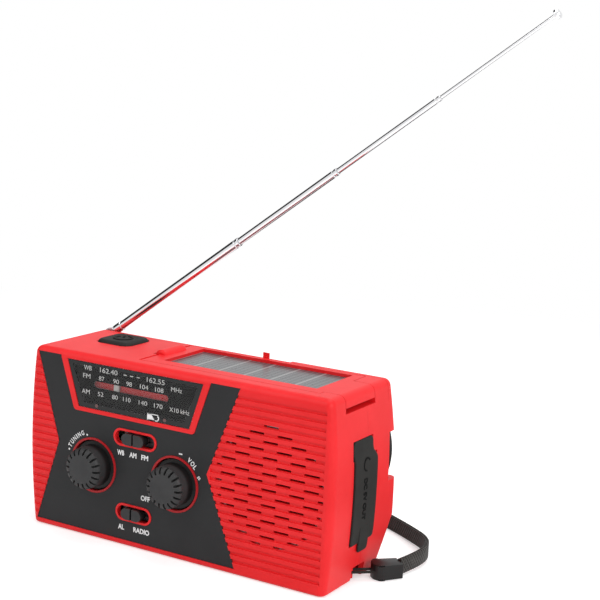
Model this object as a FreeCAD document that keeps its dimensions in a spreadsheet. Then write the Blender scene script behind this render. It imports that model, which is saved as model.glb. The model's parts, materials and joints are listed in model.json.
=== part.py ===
"""Hand-crank emergency radio with solar lid, telescopic antenna and wrist strap.

Frame: +Z up, +X to the right of the dial side, -Y out of the dial side.
Origin: middle of the case's width, on the plane it stands on.  Millimetres.
"""
import FreeCAD
import Part
import Sketcher
import math
import os
import re

V = FreeCAD.Vector

SIZES = {
    # case: outline seen from the front, and profile seen from the end
    "end_half": 72.5, "bulge": 2.5, "height": 78.0, "front_y": -25.0,
    "base_back_y": 18.0, "low_back_y": 29.0, "low_back_z": 20.5,
    "high_back_y": 26.3, "high_back_z": 57.0, "top_back_y": 24.0,
    "edge_round": 3.2, "base_round": 1.5, "wall": 2.2,
    "seam_y": 2.2, "deck_z": 69.3, "deck_back_y": 19.8, "seam_gap": 0.15,
    # ribbed fields and speaker slots
    "rib_pitch": 3.18, "rib_gap": 1.5, "rib_depth": 0.7, "rib_low_z": 5.0, "rib_count": 22,
    "rib_end": 70.8, "grille_radius": 25.0, "slot_least": 1.5, "slot_length": 6.8, "slot_height": 0.9, "slot_pitch": 12.7,
    # dial panel: an hourglass plate with a notch round the window
    "panel_x": -19.2, "panel_half": 51.0, "waist_half": 38.0, "waist_shift": -1.5, "waist_z": 38.6,
    "panel_low_z": 2.4, "panel_high_z": 76.0, "panel_sink": 0.3, "panel_thick": 0.9, "fit_gap": 0.1,
    "frame_high_half": 37.9, "frame_low_half": 30.4, "frame_low_z": 53.7, "frame_x": -20.0,
    "window_high_half": 34.5, "window_low_half": 28.2, "window_low_z": 55.4, "window_high_z": 75.0,
    "window_thick": 1.0, "window_ledge": 1.6, "mask_thick": 0.6,
    "scale_left": -41.0, "scale_right": -3.0, "scale_z": 65.8, "scale_height": 2.8,
    # knobs
    "knob_x": 20.7, "knob_z": 31.4, "knob_radius": 8.7, "knob_reach": 8.2, "skirt_radius": 10.3,
    "knob_flat": 6.0, "knob_shoulder": 2.6, "shoulder_drop": 1.8, "knob_notches": 18, "notch_inner": 6.4,
    "notch_half": 0.48, "notch_drop": 2.4, "well_radius": 10.9, "lip_width": 0.9, "frame_round": 1.6,
    "shaft_radius": 3.0, "shaft_gap": 0.1,
    # slide switches
    "band_z": 46.2, "band_slot": 20.0, "band_cap": 11.0, "mode_z": 14.5, "mode_slot": 16.4,
    "mode_cap": 10.0, "switch_x": -18.6, "switch_slot_height": 5.6, "cap_height": 4.8, "cap_reach": 1.8,
    "cap_split": 0.9,
    # boards
    "board_y": -14.0, "board_thick": 1.6, "board_left": -66.0, "board_right": 16.0,
    "board_low_z": 11.8, "board_high_z": 58.0,
    # tuning drive behind the board
    "drive_module": 1.0, "knob_teeth": 18, "dial_teeth": 28, "dial_gear_x": -21.5, "rack_z": 59.3,
    "drive_gear_y": -11.4, "drive_gear_thick": 2.4, "pressure": 25.0, "gear_play": 0.14,
    "rack_back": 20.0, "rack_height": 3.4, "pointer_x": -30.0, "pointer_width": 2.6, "pointer_thick": 1.0,
    # speaker
    "speaker_x": 46.0, "speaker_z": 39.2, "speaker_radius": 25.5, "magnet_radius": 12.5, "speaker_depth": 20.0,
    # light button
    "button_x": -49.5, "button_y": 6.2, "button_half": 8.9, "button_corner": 4.0, "button_rise": 1.3,
    "button_drop": 5.4, "button_gap": 0.35, "button_travel": 1.0,
    # solar lid
    "hinge_x": -21.5, "hinge_z": 76.8, "barrel_radius": 1.25, "hinge_pin_radius": 0.6,
    "knuckle_radius": 3.2, "knuckle_front_y": -4.8, "knuckle_back_y": 10.4, "knuckle_round": 1.2,
    "lid_front_y": -17.4, "lid_back_y": 18.4, "lid_right": 63.0, "lid_thick": 5.0, "lid_gap": 0.3,
    "nose_front_y": -14.6, "nose_back_y": 8.4, "bay_floor_z": 71.3, "deck_floor": 1.5,
    "cell_left": -14.5, "cell_right": 58.4, "cell_front_y": -12.0, "cell_back_y": 16.6, "cell_sink": 1.3,
    "cell_thick": 0.8, "lamp_length": 44.0, "lamp_width": 12.0, "lamp_thick": 1.0,
    # rubber port cover
    "cover_front_y": -8.9, "cover_back_y": 9.2, "cover_low_z": 16.3, "crease_z": 51.9, "cover_top_z": 58.7,
    "cover_root_front_y": -9.6, "cover_root_back_y": 6.0, "cover_sink": 1.2, "cover_proud": 0.8,
    "tab_front_y": -2.9, "tab_back_y": 4.6, "tab_low_z": 9.9, "cover_gap": 0.2, "crease_radius": 0.9,
    # sockets behind it
    "socket_y": 0.3, "socket_back_x": 61.0, "usb_a_z": 42.5, "usb_c_z": 26.5, "port_board_thick": 1.6,
    # crank
    "crank_x": 43.5, "crank_z": 46.5, "dish_radius": 29.8, "dish_floor_y": 20.4, "dish_wall": 1.8,
    "crank_reach": 29.1, "arm_half": 8.7, "arm_front_y": 20.9, "arm_back_y": 27.0, "arm_slot_half": 5.4,
    "grip_length": 16.5, "grip_half": 5.1, "grip_radius": 2.9, "grip_pin_at": 23.6, "grip_pin_radius": 1.0,
    "hub_radius": 7.5, "crank_shaft_radius": 2.5, "notch_low_z": 36.4, "notch_high_z": 56.6,
    # crank gears and dynamo
    "train_module": 0.8, "crank_teeth": 48, "pinion_teeth": 12, "middle_teeth": 36,
    "middle_turn": 205.0, "dynamo_turn": 215.0, "crank_gear_y": 14.0, "middle_gear_y": 10.6, "gear_thick": 2.6,
    "gear_pin_radius": 1.2, "bore_gap": 0.06, "plate_y": 8.0, "plate_thick": 1.6,
    "dynamo_radius": 10.0, "dynamo_depth": 7.5, "post_radius": 2.5,
    # battery
    "battery_radius": 9.1, "battery_length": 65.0, "battery_left": -71.2, "battery_y": 14.8, "battery_z": 31.5,
    "holder_wall": 1.2, "door_left": -66.0, "door_right": -8.0, "door_low_z": 22.4, "door_high_z": 41.0,
    # torch in the left end
    "torch_y": 13.2, "torch_z": 58.0, "torch_radius": 8.6, "torch_depth": 12.0, "torch_rim": 1.2,
    # antenna
    "antenna_y": 22.6, "pivot_x": -68.4, "pivot_z": 76.4, "antenna_tilt": 36.2, "groove_right": 27.0,
    "groove_floor_z": 73.6, "tube_radius": 2.0, "tube_step": 0.42, "tube_wall": 0.32, "crimp_deep": 0.18, "tube_nest": 6.0,
    "tube_first": 82.5, "tube_second": 56.6, "tube_third": 53.7, "tube_fourth": 54.0, "tip_radius": 2.0,
    "tip_height": 2.0, "fork_gap": 0.1, "fork_cheek": 0.7, "tongue_half": 1.2, "fork_radius": 2.6,
    # screws
    "screw_radius": 1.3, "screw_head_radius": 2.6, "boss_radius": 3.4, "screw_x": 64.0, "screw_low_z": 8.0,
    "screw_high_z": 64.0, "screw_left_x": -34.0, "screw_right_x": 5.0,
    # strap
    "strap_pin_x": 70.4, "strap_pin_y": 0.3, "strap_pin_radius": 1.0, "strap_cord_radius": 0.55,
    "strap_notch_front_y": -3.6, "strap_notch_back_y": 6.6, "strap_notch_z": 6.0, "strap_notch_left": 66.6,
    "clasp_x": 80.9, "clasp_y": 10.6, "clasp_turn": 50.0, "clasp_length": 12.0, "clasp_wide": 9.6,
    "clasp_narrow": 7.4, "clasp_height": 6.2, "webbing_thick": 2.2, "webbing_height": 6.4,
    "cord_in_clasp": 4.6,
}

doc = FreeCAD.newDocument("emergency_radio")
sheet = doc.addObject("Spreadsheet::Sheet", "sizes")
for row, (word, value) in enumerate(SIZES.items(), start=1):
    sheet.set(f"A{row}", str(value))
    sheet.setAlias(f"A{row}", word)
doc.recompute()

# Outside normal of each origin plane as (axis letter, sign), for stacking prisms along it.
PLANES = {"XY": ("z", 1), "XZ": ("y", -1), "YZ": ("x", 1)}
kept = []


def cell(text):
    """An expression with every size's name turned into a cell of the sheet."""
    return re.sub(r"[a-z_]+[a-z]\b", lambda m: ("sizes." if m.group() in SIZES else "") + m.group(), str(text))


def number(text):
    """What an expression in the sizes comes to now."""
    return float(sheet.evalExpression(cell(text)))


def keep(solid, label):
    """Name a finished sub-part."""
    solid.Label = label
    kept.append(solid)
    return solid


# ---------------------------------------------------------------- primitives
def place(solid, x="0", y="0", z="0"):
    for axis, text in zip("xyz", (x, y, z)):
        solid.setExpression(f"Placement.Base.{axis}", cell(text))
    return solid


def box(name, x, y, z):
    """A block between three pairs of low and high places."""
    solid = doc.addObject("Part::Box", name)
    for side, (low, high) in zip(("Length", "Width", "Height"), (x, y, z)):
        solid.setExpression(side, cell(f"({high}) - ({low})"))
    return place(solid, x[0], y[0], z[0])


TURNS = {"x": (V(0, 1, 0), 90), "y": (V(1, 0, 0), -90), "z": (V(0, 0, 1), 0)}


def rod(name, axis, centre, span, radius):
    """A cylinder along an axis; centre holds the two other places in x, y, z order."""
    solid = doc.addObject("Part::Cylinder", name)
    solid.Placement = FreeCAD.Placement(V(), FreeCAD.Rotation(*TURNS[axis]))
    solid.setExpression("Radius", cell(radius))
    solid.setExpression("Height", cell(f"({span[1]}) - ({span[0]})"))
    where = list(centre)
    where.insert("xyz".index(axis), span[0])
    return place(solid, *where)


def fuse(name, *solids):
    joined = doc.addObject("Part::MultiFuse", name)
    joined.Shapes = list(solids)
    return joined


def cut(name, base, *tools):
    result = doc.addObject("Part::Cut", name)
    result.Base = base
    result.Tool = tools[0] if len(tools) == 1 else fuse(name + "_tools", *tools)
    return result


def common(name, *solids):
    shared = doc.addObject("Part::MultiCommon", name)
    shared.Shapes = list(solids)
    return shared


# ------------------------------------------------------------------ sketches
def circle(u, v, radius):
    return ("circle", u, v, radius)


def rectangle(u, v):
    return [(u[0], v[0]), (u[1], v[0]), (u[1], v[1]), (u[0], v[1])]


def stadium(u, v, length, height):
    """A slot with round ends about (u, v), as corners with arcs at both ends."""
    reach = f"({length})/2 - ({height})/2"
    rise = f"({height})/2"
    left, right = f"{u} - ({reach})", f"{u} + ({reach})"
    return [(left, f"{v} - {rise}"), (right, f"{v} - {rise}", rise, 1, right),
            (right, f"{v} + {rise}"), (left, f"{v} + {rise}", rise, 1, left)]


def draw_arc(start, end, radius, side):
    """An arc from start to end with its centre to the left (side 1) or right (side -1) of the way."""
    way = end - start
    rise = math.sqrt(max(radius ** 2 - (way.Length / 2) ** 2, 0))
    across = V(-way.y, way.x, 0).normalize()
    centre = start + way * 0.5 + across * rise * side
    first, last = (start, end) if side > 0 else (end, start)
    angles = [math.atan2(p.y - centre.y, p.x - centre.x) for p in (first, last)]
    return Part.ArcOfCircle(Part.Circle(centre, V(0, 0, 1), radius), *angles)


def draw_loop(sketch, loop):
    """One closed loop, each corner held at its place by the sheet."""
    if loop[0] == "circle":
        _, u, v, radius = loop
        at = sketch.addGeometry(Part.Circle(V(number(u), number(v), 0), V(0, 0, 1), number(radius)))
        hold(sketch, Sketcher.Constraint("DistanceX", at, 3, number(u)), u)
        hold(sketch, Sketcher.Constraint("DistanceY", at, 3, number(v)), v)
        hold(sketch, Sketcher.Constraint("Radius", at, number(radius)), radius)
        return
    spots = [V(number(corner[0]), number(corner[1]), 0) for corner in loop]
    starts, ends = [], []
    for corner, spot, after in zip(loop, spots, spots[1:] + spots[:1]):
        side = corner[3] if len(corner) > 2 else 1
        if len(corner) > 2:
            edge = sketch.addGeometry(draw_arc(spot, after, number(corner[2]), side))
            if len(corner) > 4:  # a half circle: its centre stands on the line between its ends
                hold(sketch, Sketcher.Constraint("DistanceX", edge, 3, number(corner[4])), corner[4])
            else:
                hold(sketch, Sketcher.Constraint("Radius", edge, number(corner[2])), corner[2])
        else:
            edge = sketch.addGeometry(Part.LineSegment(spot, after))
        starts.append((edge, 1 if side > 0 else 2))
        ends.append((edge, 2 if side > 0 else 1))
    for corner, spot, start, before in zip(loop, spots, starts, ends[-1:] + ends[:-1]):
        sketch.addConstraint(Sketcher.Constraint("Coincident", *before, *start))
        hold(sketch, Sketcher.Constraint("DistanceX", *start, spot.x), corner[0])
        hold(sketch, Sketcher.Constraint("DistanceY", *start, spot.y), corner[1])


def hold(sketch, constraint, text):
    sketch.setExpression(f"Constraints[{sketch.addConstraint(constraint)}]", cell(text))


def origin_part(body, role):
    return next(f for f in body.Origin.OriginFeatures if f.Role == role)


def sketch_on(body, name, plane, loops, level="0"):
    sketch = body.newObject("Sketcher::SketchObject", name)
    sketch.AttachmentSupport = [(origin_part(body, plane + "_Plane"), "")]
    sketch.MapMode = "FlatFace"
    sketch.setExpression("AttachmentOffset.Base.z", cell(level))
    for loop in loops:
        draw_loop(sketch, loop)
    return sketch


def new_body(name, base=None):
    body = doc.addObject("PartDesign::Body", name)
    if base:
        body.BaseFeature = base
    return body


def prism(body, name, plane, span, *loops, kind="Pad"):
    """Pad or pocket between two places along the plane's axis."""
    sign = PLANES[plane][1]
    low, high = span if sign > 0 else (f"-({span[1]})", f"-({span[0]})")
    sketch = sketch_on(body, name + "_sketch", plane, loops, low if kind == "Pad" else high)
    feature = body.newObject("PartDesign::" + kind, name)
    feature.Profile = sketch
    feature.setExpression("Length", cell(f"({high}) - ({low})"))
    return feature


def pocket(body, name, plane, span, *loops):
    return prism(body, name, plane, span, *loops, kind="Pocket")


def revolve(body, name, plane, loop, axis, kind="Revolution"):
    """Turn a half profile about one of the body's origin axes."""
    feature = body.newObject("PartDesign::" + kind, name)
    feature.Profile = sketch_on(body, name + "_sketch", plane, [loop])
    feature.ReferenceAxis = (origin_part(body, axis + "_Axis"), [""])
    feature.Angle = 360
    return feature


def round_edges(body, name, radius, chosen, kind="Fillet"):
    """Round or chamfer the edges of the body so far that are chosen by their bounds."""
    doc.recompute()
    tip = body.Tip
    feature = body.newObject("PartDesign::" + kind, name)
    feature.Base = (tip, [f"Edge{i}" for i, e in enumerate(tip.Shape.Edges, 1) if chosen(e.BoundBox)])
    feature.setExpression("Radius" if kind == "Fillet" else "Size", cell(radius))
    return feature


def repeat_round(body, name, feature, axis, count):
    pattern = body.newObject("PartDesign::PolarPattern", name)
    pattern.Originals = [feature]
    pattern.Axis = (origin_part(body, axis + "_Axis"), [""])
    pattern.Angle = 360
    pattern.setExpression("Occurrences", cell(count))
    body.Tip = pattern
    return pattern


def repeat_up(body, name, feature, pitch, count):
    pattern = body.newObject("PartDesign::LinearPattern", name)
    pattern.Originals = [feature]
    pattern.Direction = (origin_part(body, "Z_Axis"), [""])
    pattern.setExpression("Length", cell(f"({pitch})*({count} - 1)"))
    pattern.setExpression("Occurrences", cell(count))
    body.Tip = pattern
    return pattern


# ---------------------------------------------------------------- case forms
BULGE_RADIUS = "((height/2)^2 + bulge^2)/(2*bulge)"
MIDDLE = "height/2"


def side_x(z, outward="0"):
    """How far out the bulged end wall stands at a height."""
    return (f"(end_half + bulge - {BULGE_RADIUS} + sqrt(({BULGE_RADIUS})^2 - (({z}) - {MIDDLE})^2)"
            f" + ({outward}))")


def end_wall_strip(body, name, span_y, low_z, high_z, inner, outer, kind="Pad"):
    """A strip that follows the right end wall, between two distances out from it."""
    loop = [(side_x(low_z, inner), low_z), (side_x(low_z, outer), low_z, BULGE_RADIUS, 1),
            (side_x(high_z, outer), high_z), (side_x(high_z, inner), high_z, BULGE_RADIUS, -1)]
    return prism(body, name, "XZ", span_y, loop, kind=kind)


def case_form(name, inset):
    """The closed outer form of the case, or the hollow inside it when inset by the wall."""
    body = new_body(name)
    low, high = inset, f"height - ({inset})"
    right = [side_x(z, f"-({inset})") for z in (low, high)]
    outline = [("-" + right[0], low), (right[0], low, BULGE_RADIUS, 1),
               (right[1], high), ("-" + right[1], high, BULGE_RADIUS, 1)]
    front, back = f"front_y + ({inset})", "low_back_y + 5"
    prism(body, name + "_block", "XZ", (front, back), outline)
    slope = f"({inset})*0.9"
    profile = [(front, low), (f"base_back_y - {slope}", low), (f"low_back_y - {slope}", "low_back_z"),
               (f"high_back_y - ({inset})", "high_back_z"), (f"top_back_y - ({inset})", high), (front, high)]
    around = rectangle(("front_y - 10", "low_back_y + 10"), ("-10", "height + 10"))
    reach = "end_half + bulge + 5"
    pocket(body, name + "_profile", "YZ", ("-(" + reach + ")", reach), around, profile)
    return body


def is_low(bounds):
    return bounds.ZMax < 0.01


def make_case_forms():
    outer = case_form("case_outer", "0")
    round_edges(outer, "case_edges", "edge_round", lambda b: not is_low(b) and not at_fold(b))
    round_edges(outer, "case_base_edges", "base_round", lambda b: is_low(b))
    doc.recompute()
    return outer, case_form("case_inner", "wall")


def at_fold(bounds):
    """Whether an edge is one of the two shallow folds across the back, which stay crisp."""
    across = bounds.XLength > 20 and bounds.YLength < 0.01 and bounds.ZLength < 0.01
    return across and number("low_back_z") - 1 < bounds.ZMin < number("high_back_z") + 1


def panel_outline(gap):
    """The hourglass with its notch round the window frame, drawn in by a gap."""
    low, high = f"panel_low_z + {gap}", f"panel_high_z - {gap}"
    slant = f"{gap}*1.1"
    return [(f"panel_x - panel_half + {gap}", low), (f"panel_x + panel_half - {gap}", low),
            (f"panel_x + waist_shift + waist_half - {slant}", "waist_z"),
            (f"panel_x + panel_half - {gap}", high), (f"frame_x + frame_high_half + {slant}", high),
            (f"frame_x + frame_low_half + {slant}", f"frame_low_z - {gap}"),
            (f"frame_x - frame_low_half - {slant}", f"frame_low_z - {gap}"),
            (f"frame_x - frame_high_half - {slant}", high), (f"panel_x - panel_half + {gap}", high),
            (f"panel_x + waist_shift - waist_half + {slant}", "waist_z")]


def at_frame_corner(bounds):
    """Whether an edge is one of the two lower outer corners of the window frame."""
    level = bounds.XLength < 0.01 and bounds.ZLength < 0.01 and abs(bounds.ZMin - number("frame_low_z")) < 0.3
    aside = abs(abs(bounds.XMin - number("frame_x")) - number("frame_low_half")) < 0.5
    return level and aside


def window_outline(inset):
    return [(f"frame_x - window_low_half + ({inset})", f"window_low_z + ({inset})"),
            (f"frame_x + window_low_half - ({inset})", f"window_low_z + ({inset})"),
            (f"frame_x + window_high_half - ({inset})", f"window_high_z - ({inset})"),
            (f"frame_x - window_high_half + ({inset})", f"window_high_z - ({inset})")]


KNOBS = {"tuning": "panel_x - knob_x", "volume": "panel_x + knob_x"}
SWITCHES = {"band": ("band_z", "band_slot", "band_cap"), "mode": ("mode_z", "mode_slot", "mode_cap")}
INNER_FRONT = "front_y + wall"


def lips(gap):
    """Outer edges of the raised lips round the knobs and slide switches."""
    rings = [circle(x, "knob_z", f"well_radius + lip_width + {gap}") for x in KNOBS.values()]
    slots = [stadium("switch_x", z, f"{slot} + 2*lip_width + 2*({gap})",
                     f"switch_slot_height + 2*lip_width + 2*({gap})") for z, slot, _ in SWITCHES.values()]
    return rings + slots


# -------------------------------------------------------------- case mouldings
SCREWS = [("screw_x", "screw_low_z"), ("-screw_x", "screw_low_z"),
          ("screw_left_x", "screw_high_z"), ("screw_right_x", "screw_high_z")]
BAY_LEFT = "hinge_x - barrel_radius - lid_gap"
BAY_FRONT = "lid_front_y - lid_gap"
BAY_BACK = "lid_back_y + lid_gap"
BAY_RIGHT = "lid_right + lid_gap"
KNUCKLE_LEFT = "hinge_x - knuckle_radius - lid_gap"
DECK_LOW = "bay_floor_z - deck_floor"
PIVOT = ("pivot_x", "pivot_z")


def front_region(name, gap):
    """The half of the case in front of the seam, which steps back under the deck."""
    wide = "end_half + bulge + 5"
    lower = box(name + "_low", ("-(" + wide + ")", wide), ("front_y - 5", f"seam_y - {gap}"), ("-5", "deck_z"))
    deck = box(name + "_deck", ("-(" + wide + ")", wide), ("front_y - 5", f"deck_back_y - {gap}"),
               ("deck_z", "height + 5"))
    return fuse(name, lower, deck)


def port_tools():
    """Room in the end wall for the rubber cover and the two sockets behind it."""
    body = new_body("port_recess")
    gap = "cover_gap"
    end_wall_strip(body, "flap_room", (f"cover_front_y - {gap}", f"cover_back_y + {gap}"),
                   f"cover_low_z - {gap}", "crease_z", "-cover_sink", "2")
    end_wall_strip(body, "root_room", (f"cover_root_front_y - {gap}", f"cover_root_back_y + {gap}"),
                   "crease_z - 1", f"cover_top_z + {gap}", "-cover_sink", "2")
    sockets = [box(f"{name}_mouth", ("socket_back_x", "end_half + bulge"),
                   (f"socket_y - {half_y} - 0.1", f"socket_y + {half_y} + 0.1"),
                   (f"{z} - {half_z} - 0.1", f"{z} + {half_z} + 0.1"))
               for name, z, half_y, half_z in SOCKETS]
    return [body] + sockets


SOCKETS = [("usb_output_socket", "usb_a_z", "3", "6.6"), ("usb_input_socket", "usb_c_z", "1.7", "4.6")]


def strap_notch():
    return box("strap_notch", ("strap_notch_left", "end_half + 5"),
               ("strap_notch_front_y", "strap_notch_back_y"), ("-1", "strap_notch_z"))


def make_front_shell(outer, skin, region, tools, notch):
    """Front half: deck with the lid bay, pillars and posts, panel recess, ribs and slots."""
    tray = box("deck_tray", (f"{KNUCKLE_LEFT} - wall", "end_half + 3"),
               (f"{BAY_FRONT} - 2", "deck_back_y - seam_gap"), (DECK_LOW, "height + 1"))
    pillars = [rod(f"front_pillar_{i}", "y", at, (f"{INNER_FRONT} - 0.5" if i < 2 else "-6", "seam_y - seam_gap"),
                   "boss_radius") for i, at in enumerate(SCREWS)]
    hangers = [box(f"pillar_hanger_{i}", (f"{x} - 1.2", f"{x} + 1.2"), ("-6", "seam_y - seam_gap"),
                   (f"{z} + boss_radius*0.6", top))
               for i, ((x, z), top) in enumerate(zip(SCREWS[2:], ("height - 1", f"{DECK_LOW} + 0.5")))]
    posts = [rod(f"board_post_{i}", "y", at, (f"{INNER_FRONT} - 0.5", "board_y"), "post_radius")
             for i, at in enumerate(BOARD_POSTS)]
    corner = box("strap_corner", ("strap_notch_left - 1.5", "end_half + 3"),
                 ("strap_notch_front_y - 1.5", "seam_y - seam_gap"), ("-1", "strap_notch_z + 1.5"))
    inside = common("inside_pieces", fuse("inside_rough", tray, corner, *pillars, *hangers, *posts), outer)
    half = common("front_half", skin, region)
    block = fuse("front_block", half, inside)
    bay = box("lid_bay", (BAY_LEFT, BAY_RIGHT), (BAY_FRONT, BAY_BACK), ("bay_floor_z", "height + 5"))
    knuckle_bay = box("knuckle_bay", (KNUCKLE_LEFT, "hinge_x"),
                      ("knuckle_front_y - lid_gap", "knuckle_back_y + lid_gap"),
                      ("hinge_z - knuckle_radius - lid_gap", "height + 5"))
    nose_bay = box("nose_bay", (f"{BAY_RIGHT} - 1", "end_half + 5"),
                   ("nose_front_y - lid_gap", "nose_back_y + lid_gap"), ("deck_z + deck_floor", "height + 5"))
    pin_hole = rod("lid_pin_hole", "y", ("hinge_x", "hinge_z"), (f"{BAY_FRONT} - 1.8", f"{BAY_BACK} + 0.7"),
                   "hinge_pin_radius + bore_gap")
    button_room = button_form("button_room", "button_gap", "height - 5", "height + 5")
    screw_holes = [rod(f"screw_hole_{i}", "y", at, ("-5.2", "seam_y + 1"), "screw_radius + 0.1")
                   for i, at in enumerate(SCREWS)]
    wells = [rod(f"{name}_well", "y", (x, "knob_z"), ("front_y - 2", f"{INNER_FRONT} + 1"), "well_radius")
             for name, x in KNOBS.items()]
    raw = cut("front_raw", block, bay, knuckle_bay, nose_bay, pin_hole, button_room, notch,
              *tools, *screw_holes, *wells, speaker_slots())
    shell = new_body("front_shell_body", raw)
    sunk = "front_y + panel_sink + panel_thick"
    pocket(shell, "panel_recess", "XZ", ("front_y - 1", sunk), panel_outline("0"), *lips("0"))
    round_edges(shell, "frame_corners", "frame_round", at_frame_corner)
    pocket(shell, "window_recess", "XZ", ("front_y - 1", "front_y + panel_sink + window_thick"), window_outline("0"))
    pocket(shell, "window_opening", "XZ", ("front_y - 1", f"{INNER_FRONT} + 1"), window_outline("window_ledge"))
    for name, (z, slot, _) in SWITCHES.items():
        pocket(shell, name + "_slot", "XZ", ("front_y - 1", f"{INNER_FRONT} + 1"),
               stadium("switch_x", z, slot, "switch_slot_height"))
    cut_ribs(shell)
    bar = rod("strap_bar", "z", ("strap_pin_x", "strap_pin_y"), ("0.3", "strap_notch_z + 1"), "strap_pin_radius")
    return keep(fuse("front_with_bar", shell, bar), "front_shell")


BOARD_POSTS = [("-62", "47"), ("12", "15"), ("-62", "16")]


def cut_ribs(shell):
    """Grooves that leave the horizontal ribs to the left and right of the panel."""
    rows = ("rib_low_z", "rib_low_z + rib_gap")
    left = rectangle(("-(end_half + 4)", "panel_x + waist_shift - waist_half + 1"), rows)
    right = rectangle(("panel_x + waist_shift + waist_half + 1.5", "rib_end"), rows)
    for name, field in (("left_rib", left), ("right_rib", right)):
        groove = pocket(shell, name, "XZ", ("front_y - 1", "front_y + rib_depth"), field)
        repeat_up(shell, name + "s", groove, "rib_pitch", "rib_count")


def speaker_slots():
    """Slots in every groove, clipped by a circle, each second row set over by half a pitch."""
    slots, through = [], ("front_y - 1", f"{INNER_FRONT} + 1")
    half_pitch, half_slot = number("slot_pitch") / 2, number("slot_length") / 2
    for row in range(int(number("rib_count"))):
        z = f"rib_low_z + rib_gap/2 + {row}*rib_pitch"
        room = number("grille_radius") ** 2 - (abs(number(f"{z} - speaker_z")) + number("slot_height") / 2) ** 2
        if room <= 0:
            continue
        for step in range(-6, 7):
            near_edge = abs(step) * half_pitch - half_slot
            if (step + row) % 2 == 0 and near_edge + number("slot_least") < math.sqrt(room):
                x = f"speaker_x + {step}*slot_pitch/2"
                slots.append(box(f"slot_{row}_{step + 6}", (f"{x} - slot_length/2", f"{x} + slot_length/2"),
                                 through, (f"{z} - slot_height/2", f"{z} + slot_height/2")))
    bound = rod("grille_circle", "y", ("speaker_x", "speaker_z"), through, "grille_radius")
    return common("speaker_grille", fuse("slot_rows", *slots), bound)


def make_rear_shell(outer, skin, region, tools):
    """Rear half: crank dish with its notch, antenna groove, battery opening and screw wells."""
    back = "low_back_y + 3"
    dish = rod("dish_cup", "y", CRANK, ("dish_floor_y - 2", back), "dish_radius + dish_wall")
    pillars = [rod(f"rear_pillar_{i}", "y", at, ("seam_y", back), "boss_radius + 0.9") for i, at in enumerate(SCREWS)]
    groove_floor = box("groove_shelf", ("-(end_half + 3)", "groove_right + wall"),
                       ("deck_back_y", back), ("groove_floor_z - wall", "height + 1"))
    inside = common("rear_inside", fuse("rear_rough", dish, groove_floor, *pillars), outer)
    block = fuse("rear_block", cut("rear_half", skin, region), inside)
    hollow = rod("dish_hollow", "y", CRANK, ("dish_floor_y", back), "dish_radius")
    notch = box("crank_notch", ("crank_x + 15", "end_half + 5"), ("arm_front_y - 0.8", back),
                ("notch_low_z", "notch_high_z"))
    groove = box("antenna_groove", ("-(end_half - 1.0)", "groove_right"), ("deck_back_y - 1", back),
                 ("groove_floor_z", "height + 5"))
    bore = rod("crank_bore", "y", CRANK, ("dish_floor_y - 3", back), "crank_shaft_radius + bore_gap")
    door = box("door_opening", ("door_left - cover_gap", "door_right + cover_gap"), ("low_back_y - 8", back),
               ("door_low_z - cover_gap", "door_high_z + cover_gap"))
    torch = rod("torch_hole", "x", ("torch_y", "torch_z"), ("-(end_half + 5)", "-(end_half - 5)"),
                "torch_radius + torch_rim + 0.1")
    wells = [rod(f"screw_well_{i}", "y", at, (SCREW_SEATS[i], back), "screw_head_radius + 0.2")
             for i, at in enumerate(SCREWS)]
    holes = [rod(f"rear_screw_hole_{i}", "y", at, ("seam_y - 1", back), "screw_radius + 0.15")
             for i, at in enumerate(SCREWS)]
    trains = [rod(f"{name}_hole", "y", at, ("dish_floor_y - 3", "dish_floor_y - 0.7"), "gear_pin_radius")
              for name, at in (("middle_pin", MIDDLE_AT),)]
    nub = box("clip_nub", ("groove_right - 13.5", "groove_right - 10.5"),
              ("deck_back_y + 0.05", "deck_back_y + 0.45"), ("groove_floor_z - 0.5", "height + 2.2"))
    tray_room = box("tray_room", (f"{KNUCKLE_LEFT} - wall - seam_gap", "end_half + 5"),
                    ("front_y", "deck_back_y"), (f"{DECK_LOW} - seam_gap", "height + 5"))
    raw = cut("rear_raw", block, hollow, notch, groove, bore, door, torch, tray_room,
              *wells, *holes, *trains, *tools)
    return keep(fuse("rear_with_nub", raw, nub), "rear_shell")


CRANK = ("crank_x", "crank_z")
CRANK_R, MIDDLE_R, PINION_R = (f"train_module*{teeth}/2" for teeth in ("crank_teeth", "middle_teeth", "pinion_teeth"))
MIDDLE_AT = (f"crank_x + ({CRANK_R} + {PINION_R} + 0.02)*cos(middle_turn)",
             f"crank_z + ({CRANK_R} + {PINION_R} + 0.02)*sin(middle_turn)")
DYNAMO_AT = (f"{MIDDLE_AT[0]} + ({MIDDLE_R} + {PINION_R} + 0.02)*cos(dynamo_turn)",
             f"{MIDDLE_AT[1]} + ({MIDDLE_R} + {PINION_R} + 0.02)*sin(dynamo_turn)")
SCREW_SEATS = ["12", "12", "17", "17"]


def make_battery_door(skin):
    """The piece of the rear wall between the door's edges, with a lip inside each end."""
    span = box("door_span", ("door_left", "door_right"), ("seam_y + 3", "low_back_y + 5"),
               ("door_low_z", "door_high_z"))
    return keep(common("door_plate", skin, span), "battery_door")


def make_panel():
    body = new_body("panel_body")
    span = ("front_y + panel_sink", "front_y + panel_sink + panel_thick")
    prism(body, "panel_plate", "XZ", span, panel_outline("fit_gap"), *lips("fit_gap"))
    round_edges(body, "panel_corners", "frame_round + fit_gap", at_frame_corner)
    keep(body, "front_panel")


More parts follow.
